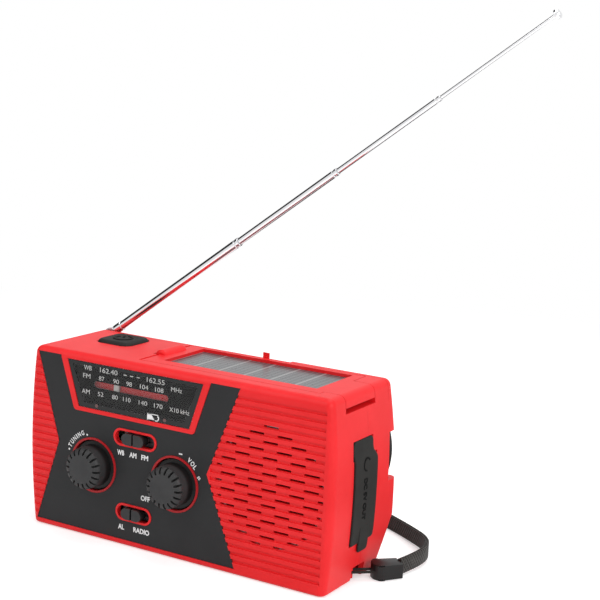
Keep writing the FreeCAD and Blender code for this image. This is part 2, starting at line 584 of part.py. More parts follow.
def make_window():
    window = new_body("window_body")
    front = "front_y + panel_sink"
    prism(window, "window_plate", "XZ", (front, f"{front} + window_thick"), window_outline("fit_gap"))
    keep(window, "dial_window")
    mask = new_body("mask_body")
    back = f"{front} + window_thick"
    slot = stadium("(scale_left + scale_right)/2", "scale_z", "scale_right - scale_left", "scale_height")
    prism(mask, "mask_plate", "XZ", (back, f"{back} + mask_thick"), window_outline("window_ledge + fit_gap"), slot)
    keep(mask, "dial_scale")
    behind = f"{back} + mask_thick"
    ends, rise = ("scale_left - 2", "scale_right + 2"), ("scale_z - scale_height/2 - 0.5", "scale_z + scale_height/2 + 0.5")
    trough = box("channel_block", ends, (behind, f"{POINTER_FRONT} + pointer_thick + 0.8"), rise)
    run = box("channel_run", ("scale_left - 1", "scale_right + 1"),
              (f"{behind} - 1", f"{POINTER_FRONT} + pointer_thick + 0.4"), ("scale_z - 5", "scale_z + 5"))
    keep(cut("channel", trough, run), "dial_channel")


# --------------------------------------------------------- knobs and switches
def make_knob(name, x):
    """A knob with notches round its shoulder, a skirt inside the well and a socket for its shaft."""
    body = new_body(name + "_knob_body")
    face = "front_y - knob_reach"
    profile = [("shaft_radius", "front_y + 1.7"), ("shaft_radius", f"{face} + 1.6"), ("0", f"{face} + 1.6"),
               ("0", face), ("knob_flat", face, "knob_shoulder", 1), ("knob_radius", f"{face} + shoulder_drop"),
               ("knob_radius + 0.2", "front_y + 0.6"), ("skirt_radius", "front_y + 0.9"),
               ("skirt_radius", "front_y + 1.7")]
    revolve(body, name + "_turning", "XY", profile, "Y")
    notch = pocket(body, name + "_notch", "XZ", (f"{face} - 1", f"{face} + notch_drop"),
                   [("notch_inner", "-notch_half"), ("knob_radius + 1", "-notch_half"),
                    ("knob_radius + 1", "notch_half"), ("notch_inner", "notch_half", "notch_half", 1, "notch_inner")])
    repeat_round(body, name + "_notches", notch, "Y", "knob_notches")
    place(body, x, "0", "knob_z")
    keep(body, name + "_knob")
    if name == "volume":
        keep(rod("volume_spindle", "y", (x, "knob_z"), (f"{face} + 1.6", "board_y + board_thick + 4"),
                 "shaft_radius"), "volume_shaft")


def make_switch(name, z, slot, cap):
    """A slider cap with a split down its middle, its stem, and the switch behind."""
    body = new_body(name + "_slider_body")
    out, within = "front_y - cap_reach", "front_y + 1.3"
    loop = stadium("switch_x", z, cap, "cap_height")
    prism(body, name + "_cap", "XZ", (out, within), loop)
    pocket(body, name + "_split", "XZ", (f"{out} - 1", f"{out} + 1.6"),
           rectangle(("switch_x - cap_split/2", "switch_x + cap_split/2"), (f"{z} - 5", f"{z} + 5")))
    prism(body, name + "_flange", "XZ", (within, "front_y + 2"), stadium("switch_x", z, cap, "cap_height"))
    prism(body, name + "_stem", "XZ", ("front_y + 1.9", "front_y + 5.2"),
          rectangle(("switch_x - 1.5", "switch_x + 1.5"), (f"{z} - 1.2", f"{z} + 1.2")))
    keep(body, name + "_slider")
    case = box(name + "_case", ("switch_x - 8.5", "switch_x + 8.5"), ("front_y + 4.6", "board_y"),
               (f"{z} - 3.2", f"{z} + 3.2"))
    track = box(name + "_track", ("switch_x - 6", "switch_x + 6"), ("front_y + 4", "front_y + 5.5"),
                (f"{z} - 1.5", f"{z} + 1.5"))
    keep(cut(name + "_switch_case", case, track), name + "_switch")


def make_board():
    body = new_body("board_body")
    holes = [circle(x, "knob_z", "shaft_radius + 0.8") for x in KNOBS.values()]
    prism(body, "board_plate", "XZ", ("board_y", "board_y + board_thick"),
          rectangle(("board_left", "board_right"), ("board_low_z", "board_high_z")), *holes)
    keep(body, "circuit_board")


def make_pots():
    back = "board_y + board_thick"
    x, z = KNOBS["tuning"], "knob_z"
    front = "drive_gear_y + drive_gear_thick + 0.4"
    case = box("capacitor_case", (f"{x} - 10", f"{x} + 10"), (front, f"{back} + 9"), (f"{z} - 10", f"{z} + 10"))
    feet = [box(f"capacitor_foot_{i}", (f"{x} + {side} - 1", f"{x} + {side} + 1"), (back, f"{front} + 1"),
                (f"{z} - 13", f"{z} - 8")) for i, side in enumerate((-9, 9))]
    bore = rod("capacitor_bore", "y", (x, z), (f"{front} - 3", f"{back} + 9"), "shaft_radius + bore_gap")
    keep(cut("capacitor", fuse("capacitor_solid", case, *feet), bore), "tuning_capacitor")
    x = KNOBS["volume"]
    drum = rod("pot_drum", "y", (x, z), (back, f"{back} + 5"), "8")
    bore = rod("pot_bore", "y", (x, z), (f"{back} - 1", f"{back} + 4.5"), "shaft_radius + bore_gap")
    keep(cut("pot", drum, bore), "volume_pot")


# --------------------------------------------------------------------- gears
def involute(angle):
    return math.tan(angle) - angle


def tooth_flank(module, teeth, play):
    """Points (radius, half angle) up one flank of a tooth, from the root to the tip."""
    pitch, lean = module * teeth / 2, math.radians(number("pressure"))
    base, tip, root = pitch * math.cos(lean), pitch + module * 0.95, pitch - module * 1.15
    half = (math.pi / 2 * module - play) / (2 * pitch) + involute(lean)
    low = max(root, base)
    points = [(root, half - (0 if base > root else involute(math.acos(base / root))))] if low > root else []
    for step in range(4):
        radius = low + (tip - low) * step / 3
        points.append((radius, half - involute(math.acos(min(1, base / radius)))))
    return points


def gear_face(module, teeth, phase, bore, front):
    """The flat outline of a spur gear about the Y axis, with its bore."""
    flank = tooth_flank(module, teeth, number("gear_play"))
    rim = []
    for tooth in range(teeth):
        middle = phase + 2 * math.pi * tooth / teeth
        rim += [(r, middle - a) for r, a in flank] + [(r, middle + a) for r, a in reversed(flank)]
    spots = [V(r * math.cos(a), front, r * math.sin(a)) for r, a in rim]
    face = Part.Face(Part.makePolygon(spots + spots[:1]))
    if bore:
        face = face.cut(Part.Face(Part.Wire(Part.makeCircle(bore, V(0, front, 0), V(0, 1, 0)))))
    return face


def gear_solid(module, teeth, phase, bore, front, thick):
    """A gear between two places along Y; its centre stays at the origin."""
    return gear_face(module, teeth, phase, bore, front).extrude(V(0, thick, 0))


def shaped(name, shape, x="0", z="0"):
    """A sub-part whose shape is worked out here, placed by the sheet."""
    feature = doc.addObject("Part::Feature", name)
    feature.Shape = shape
    feature.Placement = FreeCAD.Placement(V(number(x), 0, number(z)), FreeCAD.Rotation())
    return keep(feature, name)


def facing(start, end):
    return math.atan2(number(end[1]) - number(start[1]), number(end[0]) - number(start[0]))


def make_tuning_drive():
    """Knob gear, dial gear and the toothed rack that carries the pointer."""
    module, knob_teeth, dial_teeth = number("drive_module"), int(number("knob_teeth")), int(number("dial_teeth"))
    front, thick = number("drive_gear_y"), number("drive_gear_thick")
    knob_at, dial_at = (KNOBS["tuning"], "knob_z"), ("dial_gear_x", DIAL_Z)
    toward = facing(knob_at, dial_at)
    shaft = number("shaft_radius")
    near, far = number("front_y - knob_reach + 1.6"), number("board_y + board_thick + 8")
    spindle = Part.makeCylinder(shaft, far - near, V(0, near, 0), V(0, 1, 0))
    wheel = gear_solid(module, knob_teeth, toward, 0, front, thick)
    shaped("tuning_shaft", wheel.fuse(spindle).removeSplitter(), *knob_at)
    dial_phase = toward + math.pi + math.pi / dial_teeth
    pin = number("gear_pin_radius + bore_gap")
    shaped("dial_gear", gear_solid(module, dial_teeth, dial_phase, pin, front, thick), *dial_at)
    keep(rod("dial_pin", "y", dial_at, ("board_y + board_thick", "drive_gear_y + drive_gear_thick + 0.8"),
             "gear_pin_radius"), "dial_gear_pin")
    pitch = math.pi * module
    past_top = (math.pi / 2 - dial_phase) % (2 * math.pi / dial_teeth)
    first = number("dial_gear_x") + past_top * module * dial_teeth / 2
    shaped("pointer_rack", rack_shape(module, pitch, first, front, thick))


DIAL_Z = "rack_z - drive_module*dial_teeth/2 - 0.02"


def rack_shape(module, pitch, first, front, thick):
    """A bar with teeth hanging down to the dial gear, and the arm that reaches the dial."""
    line, lean = number("rack_z"), math.tan(math.radians(number("pressure")))
    pointer, back = number("pointer_x"), number("rack_back")
    left, right = pointer - back, pointer + back
    root, tip = line + module * 1.15, line - module * 0.95
    half = (pitch / 2 - number("gear_play")) / 2
    tooth = math.ceil((left - first) / pitch - 0.5) + 0.5
    spots = [(left, root)]
    while first + (tooth + 0.5) * pitch < right:
        middle = first + tooth * pitch
        for side, z in ((-1, root), (-1, tip), (1, tip), (1, root)):
            spots.append((middle + side * (half + (z - line) * lean), z))
        tooth += 1
    top = root + number("rack_height")
    spots += [(right, root), (right, top), (left, top)]
    wire = Part.makePolygon([V(x, front, z) for x, z in spots + spots[:1]])
    bar = Part.Face(wire).extrude(V(0, thick, 0))
    width, reach = number("pointer_width"), number(POINTER_FRONT)
    low, neck_top, high = root + 0.2, number("scale_z - scale_height/2 - 0.8"), number("scale_z + scale_height/2 + 0.8")
    corner = V(pointer - width / 2, reach, low)
    flag = Part.makeBox(width, number("pointer_thick"), high - low, corner)
    neck = Part.makeBox(width, front + thick - reach, neck_top - low, corner)
    return bar.fuse([flag, neck]).removeSplitter()


POINTER_FRONT = "front_y + panel_sink + window_thick + mask_thick + 0.3"


def make_crank_train():
    """Crank gear, the two-step middle gear and the dynamo's pinion, between plate and dish."""
    module = number("train_module")
    crank, pinion, middle = (int(number(n)) for n in ("crank_teeth", "pinion_teeth", "middle_teeth"))
    near, far, thick = number("middle_gear_y"), number("crank_gear_y"), number("gear_thick")
    toward_middle, toward_dynamo = facing(CRANK, MIDDLE_AT), facing(MIDDLE_AT, DYNAMO_AT)
    shaped("crank_gear", gear_solid(module, crank, toward_middle, number("crank_shaft_radius"), far, thick), *CRANK)
    pin = number("gear_pin_radius + bore_gap")
    small = gear_solid(module, pinion, toward_middle + math.pi + math.pi / pinion, pin, far - 0.9, thick + 0.9)
    large = gear_solid(module, middle, toward_dynamo, pin, near, thick)
    shaped("middle_gear", large.fuse(small).removeSplitter(), *MIDDLE_AT)
    phase = toward_dynamo + math.pi + math.pi / pinion
    axle = Part.makeCylinder(1.0, near + thick - number("plate_y - dynamo_depth + 1"),
                             V(0, number("plate_y - dynamo_depth + 1"), 0), V(0, 1, 0))
    rotor = gear_solid(module, pinion, phase, 0, near, thick).fuse(axle).removeSplitter()
    shaped("dynamo_pinion", rotor, *DYNAMO_AT)
    keep(rod("middle_pin_rod", "y", MIDDLE_AT, ("plate_y", "dish_floor_y - 0.8"), "gear_pin_radius"), "middle_gear_pin")
    drum = rod("dynamo_drum", "y", DYNAMO_AT, ("plate_y - dynamo_depth", "plate_y"), "dynamo_radius")
    bore = rod("dynamo_bore", "y", DYNAMO_AT, ("plate_y - dynamo_depth + 0.8", "plate_y + 1"), "1 + bore_gap")
    keep(cut("dynamo_can", drum, bore), "dynamo")


def make_gear_plate():
    """The plate that carries dynamo, middle gear and crank shaft, on posts to the dish floor."""
    body = new_body("gear_plate_body")
    outline = [("-4.5", "15"), ("50", "17"), ("70.5", "53"), ("70.5", "63"), ("14", "63"), ("-4.5", "37")]
    holes = [circle(*CRANK, "crank_shaft_radius + bore_gap"), circle(*MIDDLE_AT, "gear_pin_radius"),
             circle(*DYNAMO_AT, "2.2")]
    prism(body, "gear_plate_sheet", "XZ", ("plate_y", "plate_y + plate_thick"), outline, *holes)
    for i, at in enumerate(PLATE_POSTS):
        prism(body, f"plate_post_{i}", "XZ", ("plate_y + plate_thick - 0.1", "dish_floor_y - 2"),
              circle(*at, "post_radius"))
    keep(body, "gear_plate")


PLATE_POSTS = [("43.5", "22.5"), ("66.5", "58"), ("20", "58.5")]


# --------------------------------------------------------------------- crank
def make_crank():
    shaft = rod("crank_shaft_rod", "y", CRANK, ("plate_y + 0.1", "arm_front_y + 0.5"), "crank_shaft_radius")
    keep(shaft, "crank_shaft")
    x, z = CRANK
    rim = rod("crank_sweep", "y", ("0", "0"), ("arm_front_y", "arm_back_y"), "crank_reach")
    blank = box("crank_blank", ("-arm_half", "crank_reach + 1"), ("arm_front_y", "arm_back_y"),
                ("-arm_half", "arm_half"))
    body = new_body("crank_arm_body", common("crank_rough", rim, blank))
    round_edges(body, "hub_end", "arm_half*0.8", lambda b: b.YLength > 5 and b.XMax < 0)
    slot = "grip_radius + 0.35"
    pocket(body, "grip_slot", "XZ", ("arm_front_y - 1", "arm_back_y + 1"),
           rectangle((f"grip_pin_at - grip_length - 0.6", f"grip_pin_at + {slot}"),
                     ("-arm_slot_half", "arm_slot_half")))
    pocket(body, "shaft_socket", "XZ", ("arm_front_y - 1", "arm_front_y + 0.5"), circle("0", "0", "crank_shaft_radius"))
    prism(body, "hub_boss", "XZ", ("dish_floor_y + 0.2", "arm_front_y + 0.01"),
          circle("0", "0", "hub_radius*0.7"), circle("0", "0", "crank_shaft_radius"))
    place(body, x, "0", z)
    keep(body, "crank_arm")
    middle_y = "(arm_front_y + arm_back_y)/2"
    grip = new_body("crank_grip_body")
    loop = [("-grip_length", "-(grip_radius - 0.5)"), ("0", "-grip_radius", "grip_radius", 1, "0"),
            ("0", "grip_radius"), ("-grip_length", "grip_radius - 0.5")]
    prism(grip, "grip_form", "XY", ("-grip_half", "grip_half"), loop)
    pocket(grip, "grip_bore", "XY", ("-grip_half - 1", "grip_half + 1"), circle("0", "0", "grip_pin_radius + bore_gap"))
    place(grip, f"{x} + grip_pin_at", middle_y, z)
    keep(grip, "crank_grip")
    keep(rod("grip_pin_rod", "z", (f"{x} + grip_pin_at", middle_y),
             (f"{z} - arm_slot_half", f"{z} + arm_slot_half"), "grip_pin_radius"), "crank_grip_pin")


# ------------------------------------------------------------------ speaker
def make_speaker():
    front = f"{INNER_FRONT} + 0.1"
    back = f"{front} + speaker_depth"
    basket = new_body("speaker_basket_body")
    revolve(basket, "basket_turning", "XY",
            [("speaker_radius - 2", front), ("speaker_radius", front), ("speaker_radius", f"{front} + 1.4"),
             ("speaker_radius - 2.2", f"{front} + 1.8"), ("magnet_radius + 1", f"{back} - 8"),
             ("3.2", f"{back} - 8"), ("3.2", f"{back} - 9.2"), ("magnet_radius", f"{back} - 9.2"),
             ("speaker_radius - 3.4", f"{front} + 1.4"), ("speaker_radius - 2", f"{front} + 1.2")], "Y")
    place(basket, "speaker_x", "0", "speaker_z")
    keep(basket, "speaker_basket")
    cone = new_body("speaker_cone_body")
    revolve(cone, "cone_turning", "XY",
            [("0", f"{front} + 6"), ("3", f"{front} + 6.4"), ("5", f"{front} + 7.6"),
             ("speaker_radius - 4.4", f"{front} + 0.9"), ("speaker_radius - 2.2", f"{front} + 0.9"),
             ("speaker_radius - 2.2", f"{front} + 1.15"), ("speaker_radius - 4", f"{front} + 1.3"),
             ("5", f"{front} + 8.4"), ("3", f"{front} + 8.6"), ("3", f"{back} - 6"), ("0", f"{back} - 6")], "Y")
    place(cone, "speaker_x", "0", "speaker_z")
    keep(cone, "speaker_cone")
    magnet = rod("magnet_disc", "y", ("speaker_x", "speaker_z"), (f"{back} - 8", back), "magnet_radius")
    gap = rod("magnet_gap", "y", ("speaker_x", "speaker_z"), (f"{back} - 9", f"{back} - 5"), "3.2")
    keep(cut("magnet", magnet, gap), "speaker_magnet")


# ------------------------------------------------------------ light button
def button_form(name, gap, low, high):
    """A square with wide round corners, standing at the button's place."""
    body = new_body(name)
    half, corner = f"(button_half + {gap})", f"(button_corner + {gap})"
    flat = "(button_half - button_corner)"
    loop = []
    for u, v, along in ((1, -1, "v"), (1, 1, "u"), (-1, 1, "v"), (-1, -1, "u")):
        ends = [(f"{u}*{flat}", f"{v}*{half}"), (f"{u}*{half}", f"{v}*{flat}")]
        start, end = ends if along == "v" else ends[::-1]
        loop += [(*start, corner, 1), end]
    prism(body, name + "_block", "XY", (low, high), loop)
    place(body, "button_x", "button_y")
    return body


def make_button():
    body = button_form("button_body", "0", "height - button_drop", "height + button_rise")
    round_edges(body, "button_dome", "button_rise*1.4",
                lambda b: b.ZMin > number("height + button_rise") - 0.01)
    keep(body, "light_button")
    switch = ("button_x - 3", "button_x + 3"), ("button_y - 3", "button_y + 3")
    top = "height - button_drop - button_travel - 0.1"
    base = box("tact_base", *switch, (f"{top} - 4", top))
    board = box("tact_board", ("button_x - 11.4", "button_x + 11.4"), ("button_y - 7", "button_y + 7"),
                (f"{top} - 5.4", f"{top} - 4"))
    keep(base, "button_switch")
    posts = [box(f"tact_post_{i}", (f"button_x + {side}*10.4 - 1", f"button_x + {side}*10.4 + 1"),
                 ("button_y - 1.5", "button_y + 1.5"), (f"{top} - 4.1", "height - wall"))
             for i, side in enumerate((-1, 1))]
    keep(fuse("button_bracket", board, *posts), "button_board")


# --------------------------------------------------------------- solar lid
def make_lid(outer):
    """Lid plate with its hinge barrel and rolled nose, a sunk bed for the cell and one for the lamp."""
    low = "height - lid_thick"
    plate = box("lid_plate", ("hinge_x", "lid_right"), ("lid_front_y", "lid_back_y"), (low, "height + 5"))
    nose = box("lid_nose", ("lid_right - 1", "end_half + 5"), ("nose_front_y", "nose_back_y"), (low, "height + 5"))
    slab = common("lid_slab", fuse("lid_rough", plate, nose), outer)
    barrel = rod("lid_barrel", "y", ("hinge_x", "hinge_z"), ("lid_front_y", "lid_back_y"), "barrel_radius")
    knuckle = new_body("knuckle_body")
    low_y, high_y, inner = "knuckle_front_y", "knuckle_back_y", "knuckle_radius - knuckle_round"
    revolve(knuckle, "knuckle_turning", "XY",
            [("0", low_y), (inner, low_y, "knuckle_round", 1), ("knuckle_radius", f"{low_y} + knuckle_round"),
             ("knuckle_radius", f"{high_y} - knuckle_round", "knuckle_round", 1), (inner, high_y), ("0", high_y)], "Y")
    place(knuckle, "hinge_x", "0", "hinge_z")
    cell_bed = box("cell_bed", ("cell_left", "cell_right"), ("cell_front_y", "cell_back_y"),
                   ("height - cell_sink - cell_thick", "height + 5"))
    x = "(cell_left + cell_right)/2"
    lamp_bed = box("lamp_bed", (f"{x} - lamp_length/2", f"{x} + lamp_length/2"), ("-lamp_width/2", "lamp_width/2"),
                   (f"{low} - 1", f"{low} + lamp_thick"))
    pin_bore = rod("lid_bore", "y", ("hinge_x", "hinge_z"), ("lid_front_y - 1", "lid_back_y + 1"),
                   "hinge_pin_radius + bore_gap")
    keep(cut("lid", fuse("lid_whole", slab, barrel, knuckle), cell_bed, lamp_bed, pin_bore), "solar_lid")
    keep(rod("lid_pin_rod", "y", ("hinge_x", "hinge_z"), (f"{BAY_FRONT} - 1.7", f"{BAY_BACK} + 0.6"),
             "hinge_pin_radius"), "lid_hinge_pin")
    g = "fit_gap"
    keep(box("cell_sheet", (f"cell_left + {g}", f"cell_right - {g}"), (f"cell_front_y + {g}", f"cell_back_y - {g}"),
             ("height - cell_sink - cell_thick", "height - cell_sink")), "solar_cell")
    keep(box("lamp_sheet", (f"{x} - lamp_length/2 + {g}", f"{x} + lamp_length/2 - {g}"),
             (f"-lamp_width/2 + {g}", f"lamp_width/2 - {g}"), (low, f"{low} + lamp_thick")), "reading_lamp")


# --------------------------------------------------------------- port cover
def make_port_cover():
    """Rubber cover: a root held in the end wall, and the flap that swings from the crease."""
    root = new_body("cover_root_body")
    end_wall_strip(root, "cover_root_strip", ("cover_root_front_y", "cover_root_back_y"),
                   "crease_z + cover_gap*2", "cover_top_z", "-cover_sink", "cover_proud*0.4")
    keep(root, "port_cover_root")
    flap = new_body("cover_flap_body")
    end_wall_strip(flap, "cover_flap_strip", ("cover_front_y", "cover_back_y"),
                   "cover_low_z", "crease_z", f"-cover_sink + 0.2", "cover_proud")
    end_wall_strip(flap, "cover_tab_strip", ("tab_front_y", "tab_back_y"),
                   "tab_low_z", "cover_low_z + 0.5", "0.25", "cover_proud + 0.4")
    round_edges(flap, "tab_corners", "1.2", lambda b: b.ZMax < number("tab_low_z + 0.1") and b.YLength < 0.1)
    keep(flap, "port_cover")


def make_sockets():
    """Two metal socket shells open to the end wall, on a small upright board."""
    face = "end_half + bulge - cover_sink - 0.6"
    for name, z, half_y, half_z in SOCKETS:
        shell = box(name + "_shell", ("socket_back_x", face), (f"socket_y - {half_y}", f"socket_y + {half_y}"),
                    (f"{z} - {half_z}", f"{z} + {half_z}"))
        mouth = box(name + "_inside", (f"{face} - 9", f"{face} + 1"), (f"socket_y - {half_y} + 0.4", f"socket_y + {half_y} - 0.4"),
                    (f"{z} - {half_z} + 0.4", f"{z} + {half_z} - 0.4"))
        tongue = box(name + "_tongue", (f"{face} - 9.2", f"{face} - 4.6"), (f"socket_y - 0.5", f"socket_y + 0.5"),
                     (f"{z} - {half_z} + 1.2", f"{z} + {half_z} - 1.2"))
        keep(fuse(name + "_whole", cut(name + "_hollow", shell, mouth), tongue), name)
    keep(box("port_board_sheet", ("socket_back_x - port_board_thick", "socket_back_x"), ("-6.5", "seam_y - 0.4"),
             ("usb_c_z - 7", "usb_a_z + 9")), "port_board")


# ------------------------------------------------------------------ battery
def make_battery():
    right = "battery_left + battery_length"
    keep(rod("battery_can", "x", ("battery_y", "battery_z"), ("battery_left", right), "battery_radius"), "battery_cell")
    out = "battery_radius + holder_wall + 0.15"
    trough = box("holder_block", (f"battery_left - holder_wall", f"{right} + holder_wall"),
                 (f"battery_y - {out} + 0.6", "battery_y + 3"), (f"battery_z - {out}", f"battery_z + {out}"))
    room = rod("holder_room", "x", ("battery_y", "battery_z"), ("battery_left - 0.1", f"{right} + 0.1"),
               "battery_radius + 0.15")
    mouth = box("holder_mouth", ("battery_left - 0.1", f"{right} + 0.1"), ("battery_y", "battery_y + 9"),
                ("battery_z - battery_radius - 0.15", "battery_z + battery_radius + 0.15"))
    keep(cut("battery_trough", trough, room, mouth), "battery_holder")


# -------------------------------------------------------------------- torch
def make_torch():
    """Left-end torch: rim and parabolic cup in one, clear lens, and the light chip at its root."""
    outer_x = "-(end_half + 2.4)"
    cup = new_body("torch_cup_body")
    revolve(cup, "cup_turning", "XY",
            [(outer_x, "torch_radius"), (outer_x, "torch_radius + torch_rim"),
             ("-(end_half - 1)", "torch_radius + torch_rim"), ("-(end_half - 4)", "torch_radius + 0.4"),
             ("-(end_half - torch_depth)", "3.4"), ("-(end_half - torch_depth)", "0.9"),
             ("-(end_half - torch_depth) - 1", "0.9"), ("-(end_half - torch_depth) - 1.2", "2.4"),
             ("-(end_half - 4)", "torch_radius - 1"), ("-(end_half + 0.9)", "torch_radius - 0.6"),
             ("-(end_half + 0.9)", "torch_radius")], "X")
    place(cup, "0", "torch_y", "torch_z")
    keep(cup, "torch_reflector")
    at = ("torch_y", "torch_z")
    keep(rod("torch_glass", "x", at, ("-(end_half + 2)", "-(end_half + 0.9)"), "torch_radius - 0.05"), "torch_lens")
    keep(rod("torch_chip", "x", at, ("-(end_half - torch_depth) - 2.2", "-(end_half - torch_depth) + 0.8"), "0.85"),
         "torch_led")


# ------------------------------------------------------------------ antenna
TUBES = ["tube_first", "tube_second", "tube_third", "tube_fourth"]


def make_antenna():
    """Bracket with two cheeks, the flat tongue between them and four nested tubes at rest drawn out."""
    tilt = FreeCAD.Rotation(V(0, 1, 0), 90 - number("antenna_tilt"))
    cheek = "(tongue_half + fork_gap)"
    fork = [rod(f"fork_{i}", "y", PIVOT, (low, high), "fork_radius") for i, (low, high) in enumerate(
        ((f"antenna_y - {cheek} - fork_cheek", f"antenna_y - {cheek}"),
         (f"antenna_y + {cheek}", f"antenna_y + {cheek} + fork_cheek")))]
    legs = [box(f"fork_leg_{i}", ("pivot_x - 2", "pivot_x + 2"), (low, high), ("groove_floor_z", "pivot_z"))
            for i, (low, high) in enumerate(
                ((f"antenna_y - {cheek} - fork_cheek", f"antenna_y - {cheek}"),
                 (f"antenna_y + {cheek}", f"antenna_y + {cheek} + fork_cheek")))]
    foot = box("fork_foot", ("pivot_x - 2", "pivot_x + 2"),
               (f"antenna_y - {cheek} - fork_cheek", f"antenna_y + {cheek} + fork_cheek"),
               ("groove_floor_z", "groove_floor_z + 0.15"))
    pin = rod("pivot_pin", "y", PIVOT, (f"antenna_y - {cheek} - fork_cheek", f"antenna_y + {cheek} + fork_cheek"),
              "0.9")
    keep(fuse("fork", *fork, *legs, foot, pin), "antenna_bracket")
    start = 0.0
    lengths = [number(t) for t in TUBES]
    nest = number("tube_nest")
    for i, length in enumerate(lengths):
        outer = number(f"tube_radius - {i}*tube_step")
        low = start - (nest if i else -5.2)
        body = new_body(f"antenna_tube_body_{i + 1}")
        make_tube(body, i, f"{low}", f"{start + length}", outer)
        body.Placement = FreeCAD.Placement(V(number("pivot_x"), number("antenna_y"), number("pivot_z")), tilt)
        keep(body, f"antenna_tube_{i + 1}")
        start += length


def make_tube(body, index, low, high, outer):
    """One tube along its own Z: a thin wall with a turned-in lip, or the solid last rod with its button."""
    radius = f"tube_radius - {index}*tube_step"
    if index < 3:
        inner = f"{radius} - tube_wall"
        neck = f"{radius} - crimp_deep"
        loop = [(inner, low), (radius, low), (radius, f"{high} - 2.4"), (neck, f"{high} - 2.1"),
                (neck, f"{high} - 1.7"), (radius, f"{high} - 1.4"), (radius, f"{high} - 0.3"),
                (neck, high), (inner, high)]
    else:
        loop = [("0", low), (radius, low), (radius, high), ("tip_radius - 0.5", high),
                ("tip_radius", f"{high} + 0.5"), ("tip_radius", f"{high} + tip_height - 0.6"),
                ("tip_radius - 0.6", f"{high} + tip_height"), ("0", f"{high} + tip_height")]
    revolve(body, f"tube_turning_{index}", "XZ", loop, "Z")
    if index == 0:
        revolve(body, "ferrule", "XZ", [("0", "3"), ("tube_radius + 0.25", "3"), ("tube_radius + 0.25", "7"),
                                        ("0", "7")], "Z")
        prism(body, "tongue", "XZ", ("-tongue_half", "tongue_half"),
              [("-1.7", "0"), ("1.7", "0"), ("1.7", "3.2"), ("-1.7", "3.2")])
        prism(body, "tongue_eye", "XZ", ("-tongue_half", "tongue_half"), circle("0", "0", "1.7"))
        pocket(body, "tongue_bore", "XZ", ("-tongue_half - 2", "tongue_half + 2"), circle("0", "0", "0.9 + bore_gap"))


# ------------------------------------------------------- screws and strap
def make_screws():
    solids = []
    for i, at in enumerate(SCREWS):
        seat = SCREW_SEATS[i]
        head = rod(f"screw_head_{i}", "y", at, (seat, f"{seat} + 1.8"), "screw_head_radius")
        shank = rod(f"screw_shank_{i}", "y", at, ("-5", f"{seat} + 0.1"), "screw_radius")
        solids.append(fuse(f"screw_{i}", head, shank))
    screws = doc.addObject("Part::Compound", "screw_set")
    screws.Links = solids
    keep(screws, "case_screws")


def strap_frame(along, across):
    """A point of the strap's own frame (from the pin towards the clasp) as x, y."""
    turn = math.atan2(number("clasp_y - strap_pin_y") - CLASP_BACK * math.sin(CLASP_TURN),
                      number("clasp_x - strap_pin_x") - CLASP_BACK * math.cos(CLASP_TURN))
    x = number("strap_pin_x") + along * math.cos(turn) - across * math.sin(turn)
    y = number("strap_pin_y") + along * math.sin(turn) + across * math.cos(turn)
    return x, y


CLASP_TURN = math.radians(SIZES["clasp_turn"])
CLASP_BACK = SIZES["clasp_length"] / 2


def make_strap():
    """Thin cord looped round the pin, the clasp, and the folded webbing standing on its edge."""
    radius, z = number("strap_cord_radius"), number("clasp_height/2")
    bend = number("strap_pin_radius + strap_cord_radius + 0.08")
    span = math.hypot(number("clasp_x - strap_pin_x") - CLASP_BACK * math.cos(CLASP_TURN),
                      number("clasp_y - strap_pin_y") - CLASP_BACK * math.sin(CLASP_TURN))
    leg = span + number("cord_in_clasp")
    spot = [V(*strap_frame(a, c), z) for a, c in ((leg, bend), (0, bend), (-bend, 0), (0, -bend), (leg, -bend))]
    way = Part.Wire([Part.makeLine(spot[0], spot[1]), Part.Arc(spot[1], spot[2], spot[3]).toShape(),
                     Part.makeLine(spot[3], spot[4])])
    print("strap cord: length", round(way.Length, 1), "loop radius", round(bend, 2), "span", round(span, 1))
    ring = Part.Wire(Part.makeCircle(radius, spot[0], spot[1] - spot[0]))
    shaped("strap_cord", way.makePipeShell([ring], True, False))
    make_clasp()
    make_webbing()


def make_clasp():
    body = new_body("clasp_body")
    half = "clasp_length/2"
    loop = [(f"-{half}", "-clasp_wide/2"), (half, "-clasp_narrow/2"), (half, "clasp_narrow/2"), (f"-{half}", "clasp_wide/2")]
    prism(body, "clasp_block", "XY", ("0", "clasp_height"), loop)
    round_edges(body, "clasp_rounding", "1.4", lambda b: b.ZLength > 5)
    body.Placement.Rotation = FreeCAD.Rotation(V(0, 0, 1), number("clasp_turn"))
    place(body, "clasp_x", "clasp_y")
    keep(body, "strap_clasp")


WEBBING_ROUTE = [(84.9, 15.5), (87.6, 24.0), (88.0, 34.5), (83.0, 44.5), (72.0, 52.5), (58.0, 61.5),
                 (42.0, 69.5), (26.0, 71.0), (12.0, 66.0)]


def rounded_route(points):
    """Straight runs joined by the widest tangent arcs their lengths allow; prints each radius."""
    spots = [V(x, y, 0) for x, y in points]
    edges, radii, last = [], [], spots[0]
    for before, corner, after in zip(spots, spots[1:], spots[2:]):
        back, on = before - corner, after - corner
        shorter = min(back.Length, on.Length)
        turn = math.pi - back.getAngle(on)
        radii.append(round(0.45 * shorter / math.tan(turn / 2), 1))
        enter = corner + V(back).normalize() * 0.45 * shorter
        leave = corner + V(on).normalize() * 0.45 * shorter
        inward = (V(back).normalize() + V(on).normalize()).normalize()
        radius = 0.45 * shorter / math.tan(turn / 2)
        centre = corner + inward * (radius / math.cos(turn / 2))
        edges += [Part.makeLine(last, enter), Part.Arc(enter, centre - inward * radius, leave).toShape()]
        last = leave
    edges.append(Part.makeLine(last, spots[-1]))
    return Part.Wire(edges), radii


